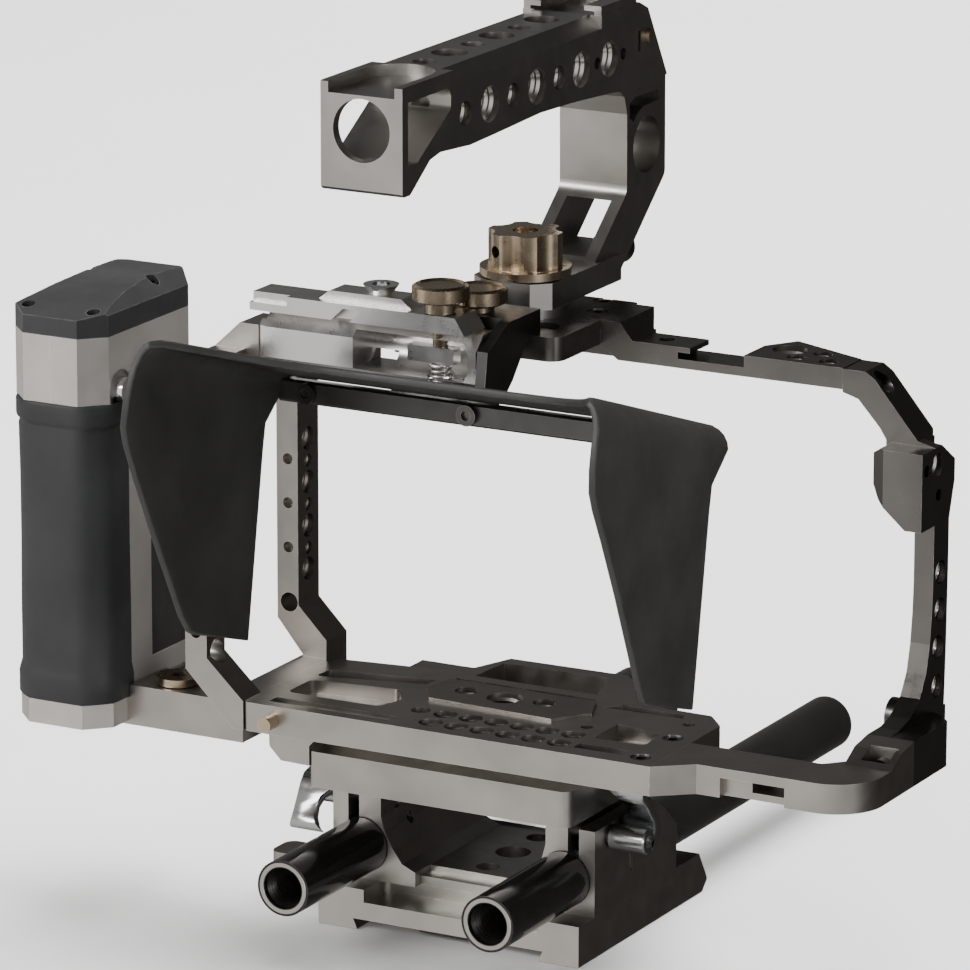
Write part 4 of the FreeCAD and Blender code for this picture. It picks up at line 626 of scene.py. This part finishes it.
def threads():
    """The threads in the tapped holes, and each rod's threaded bore with the bright face round it."""
    for index, (start, axis, (radius, pitch), deep, slot) in enumerate(tapped_holes()):
        thread(f"thread_{index:02d}", start, axis, radius, deep, "cage", slot, pitch, 0.32 * pitch)
    rod_z, bore, outer = 20.5, 5.6, 7.0
    for side, x in (("left", -30), ("right", 30)):
        front = box(f"rod_{side}")[0].y
        thread(f"rod_thread_{side}", (x, front + 0.6, rod_z), "Y", bore, 21.4, f"rod_{side}_body",
               "screw_black", 1.5, 0.5)
        face = turned_ring(f"rod_face_{side}", (x, front - 0.08, rod_z), "Y", bore + 0.05, outer, 0.4)
        piece(f"rod_face_{side}", face, f"rod_{side}_body", "base_metal", smooth=30)


threads()


# ---------------------------------------------------------------- floor, light and camera

def floor():
    """A seamless pale studio floor that curves up into a backdrop."""
    front, flat_to, curve, top, half_width = -4.0, 2.0, 1.5, 6.0, 6.0
    profile = [(front, 0.0), (flat_to, 0.0)]
    for angle in range(10, 91, 10):
        a = math.radians(angle)
        profile.append((flat_to + curve * math.sin(a), curve * (1 - math.cos(a))))
    profile.append((flat_to + curve, top))
    rows = [[(x / MM, y / MM, z / MM - 0.2) for y, z in profile]
            for x in (-half_width, -half_width / 2, 0.0, half_width / 2, half_width)]
    mesh = loft("studio_floor", rows)
    ground = placed("studio_floor", mesh)
    smoothed(mesh)
    tree = Tree("floor_paper")
    paper = tree.mix(tree.spread(tree.noise(3, 2), 0.3, 0.7), (0.86, 0.86, 0.86), (0.9, 0.9, 0.9))
    tree.link(paper, tree.shader.inputs["Base Color"])
    tree.shader.inputs["Roughness"].default_value = 0.7
    mesh.materials.append(tree.material)
    ground.visible_glossy = False


def facing(place, target):
    """The turn that points a lamp or a camera at a target."""
    return (Vector(target) - Vector(place)).to_track_quat("-Z", "Y")


def lamp(name, place, target, size, power):
    """A rectangular light of a size in metres and a power in watts."""
    light = bpy.data.lights.new(name, "AREA")
    light.shape = "RECTANGLE"
    light.size, light.size_y = size
    light.energy = power
    holder = placed(name, light)
    holder.location = place
    holder.rotation_euler = facing(place, target).to_euler()
    return holder


def camera():
    """The camera at the photograph's viewing angle, far off with a long lens."""
    place, aim, roll = (0.7987, -1.4951, 0.5702), (0.0011, -0.018, 0.12015), 0.076
    lens = bpy.data.cameras.new("camera")
    lens.lens = 249.2
    lens.sensor_width = 36.0
    holder = placed("camera", lens)
    holder.location = place
    rolled = facing(place, aim).to_matrix() @ Matrix.Rotation(math.radians(roll), 3, "Z")
    holder.rotation_euler = rolled.to_euler()
    bpy.context.scene.camera = holder


def studio():
    """A soft white room that is bright on the near left and falls to dark on the far right and overhead."""
    world = bpy.data.worlds.new("studio")
    world.use_nodes = True
    room = world.node_tree.nodes
    where = room.new("ShaderNodeTexCoord")
    toward = room.new("ShaderNodeVectorMath")
    toward.operation = "DOT_PRODUCT"
    toward.inputs[1].default_value = (-0.47, -0.88, 0.0)
    across = room.new("ShaderNodeMapRange")
    across.inputs["From Min"].default_value = -1.0
    across.inputs["From Max"].default_value = 1.0
    ramp = room.new("ShaderNodeValToRGB")
    dark, bright = ramp.color_ramp.elements
    dark.position, dark.color = 0.04, (0.05, 0.047, 0.044, 1.0)
    bright.position, bright.color = 0.95, (1.05, 1.03, 1.0, 1.0)
    for position, value in ((0.24, 0.12), (0.5, 0.45)):
        ramp.color_ramp.elements.new(position).color = (value, value * 0.985, value * 0.96, 1.0)
    height = room.new("ShaderNodeSeparateXYZ")
    ceiling = room.new("ShaderNodeMapRange")
    for socket, value in (("From Min", 0.45), ("From Max", 0.8), ("To Min", 1.0), ("To Max", 0.15)):
        ceiling.inputs[socket].default_value = value
    link = world.node_tree.links.new
    link(where.outputs["Generated"], height.inputs["Vector"])
    link(height.outputs["Z"], ceiling.inputs["Value"])
    link(ceiling.outputs["Result"], room["Background"].inputs["Strength"])
    link(where.outputs["Generated"], toward.inputs[0])
    link(toward.outputs["Value"], across.inputs["Value"])
    link(across.outputs["Result"], ramp.inputs["Fac"])
    link(ramp.outputs["Color"], room["Background"].inputs["Color"])
    bpy.context.scene.world = world


OBJECT_MIDDLE = (0.0, 0.0, 0.12)

floor()
camera()
studio()
lamp("key_left", (-1.05, -1.7, 1.2), OBJECT_MIDDLE, (1.5, 0.5), 30)
lamp("right_edge", (1.7, -0.95, 0.3), OBJECT_MIDDLE, (0.25, 0.5), 6)
lamp("top_soft", (0.3, 0.9, 2.6), (0.2, 0.7, 0.0), (2.6, 2.6), 230).visible_glossy = False
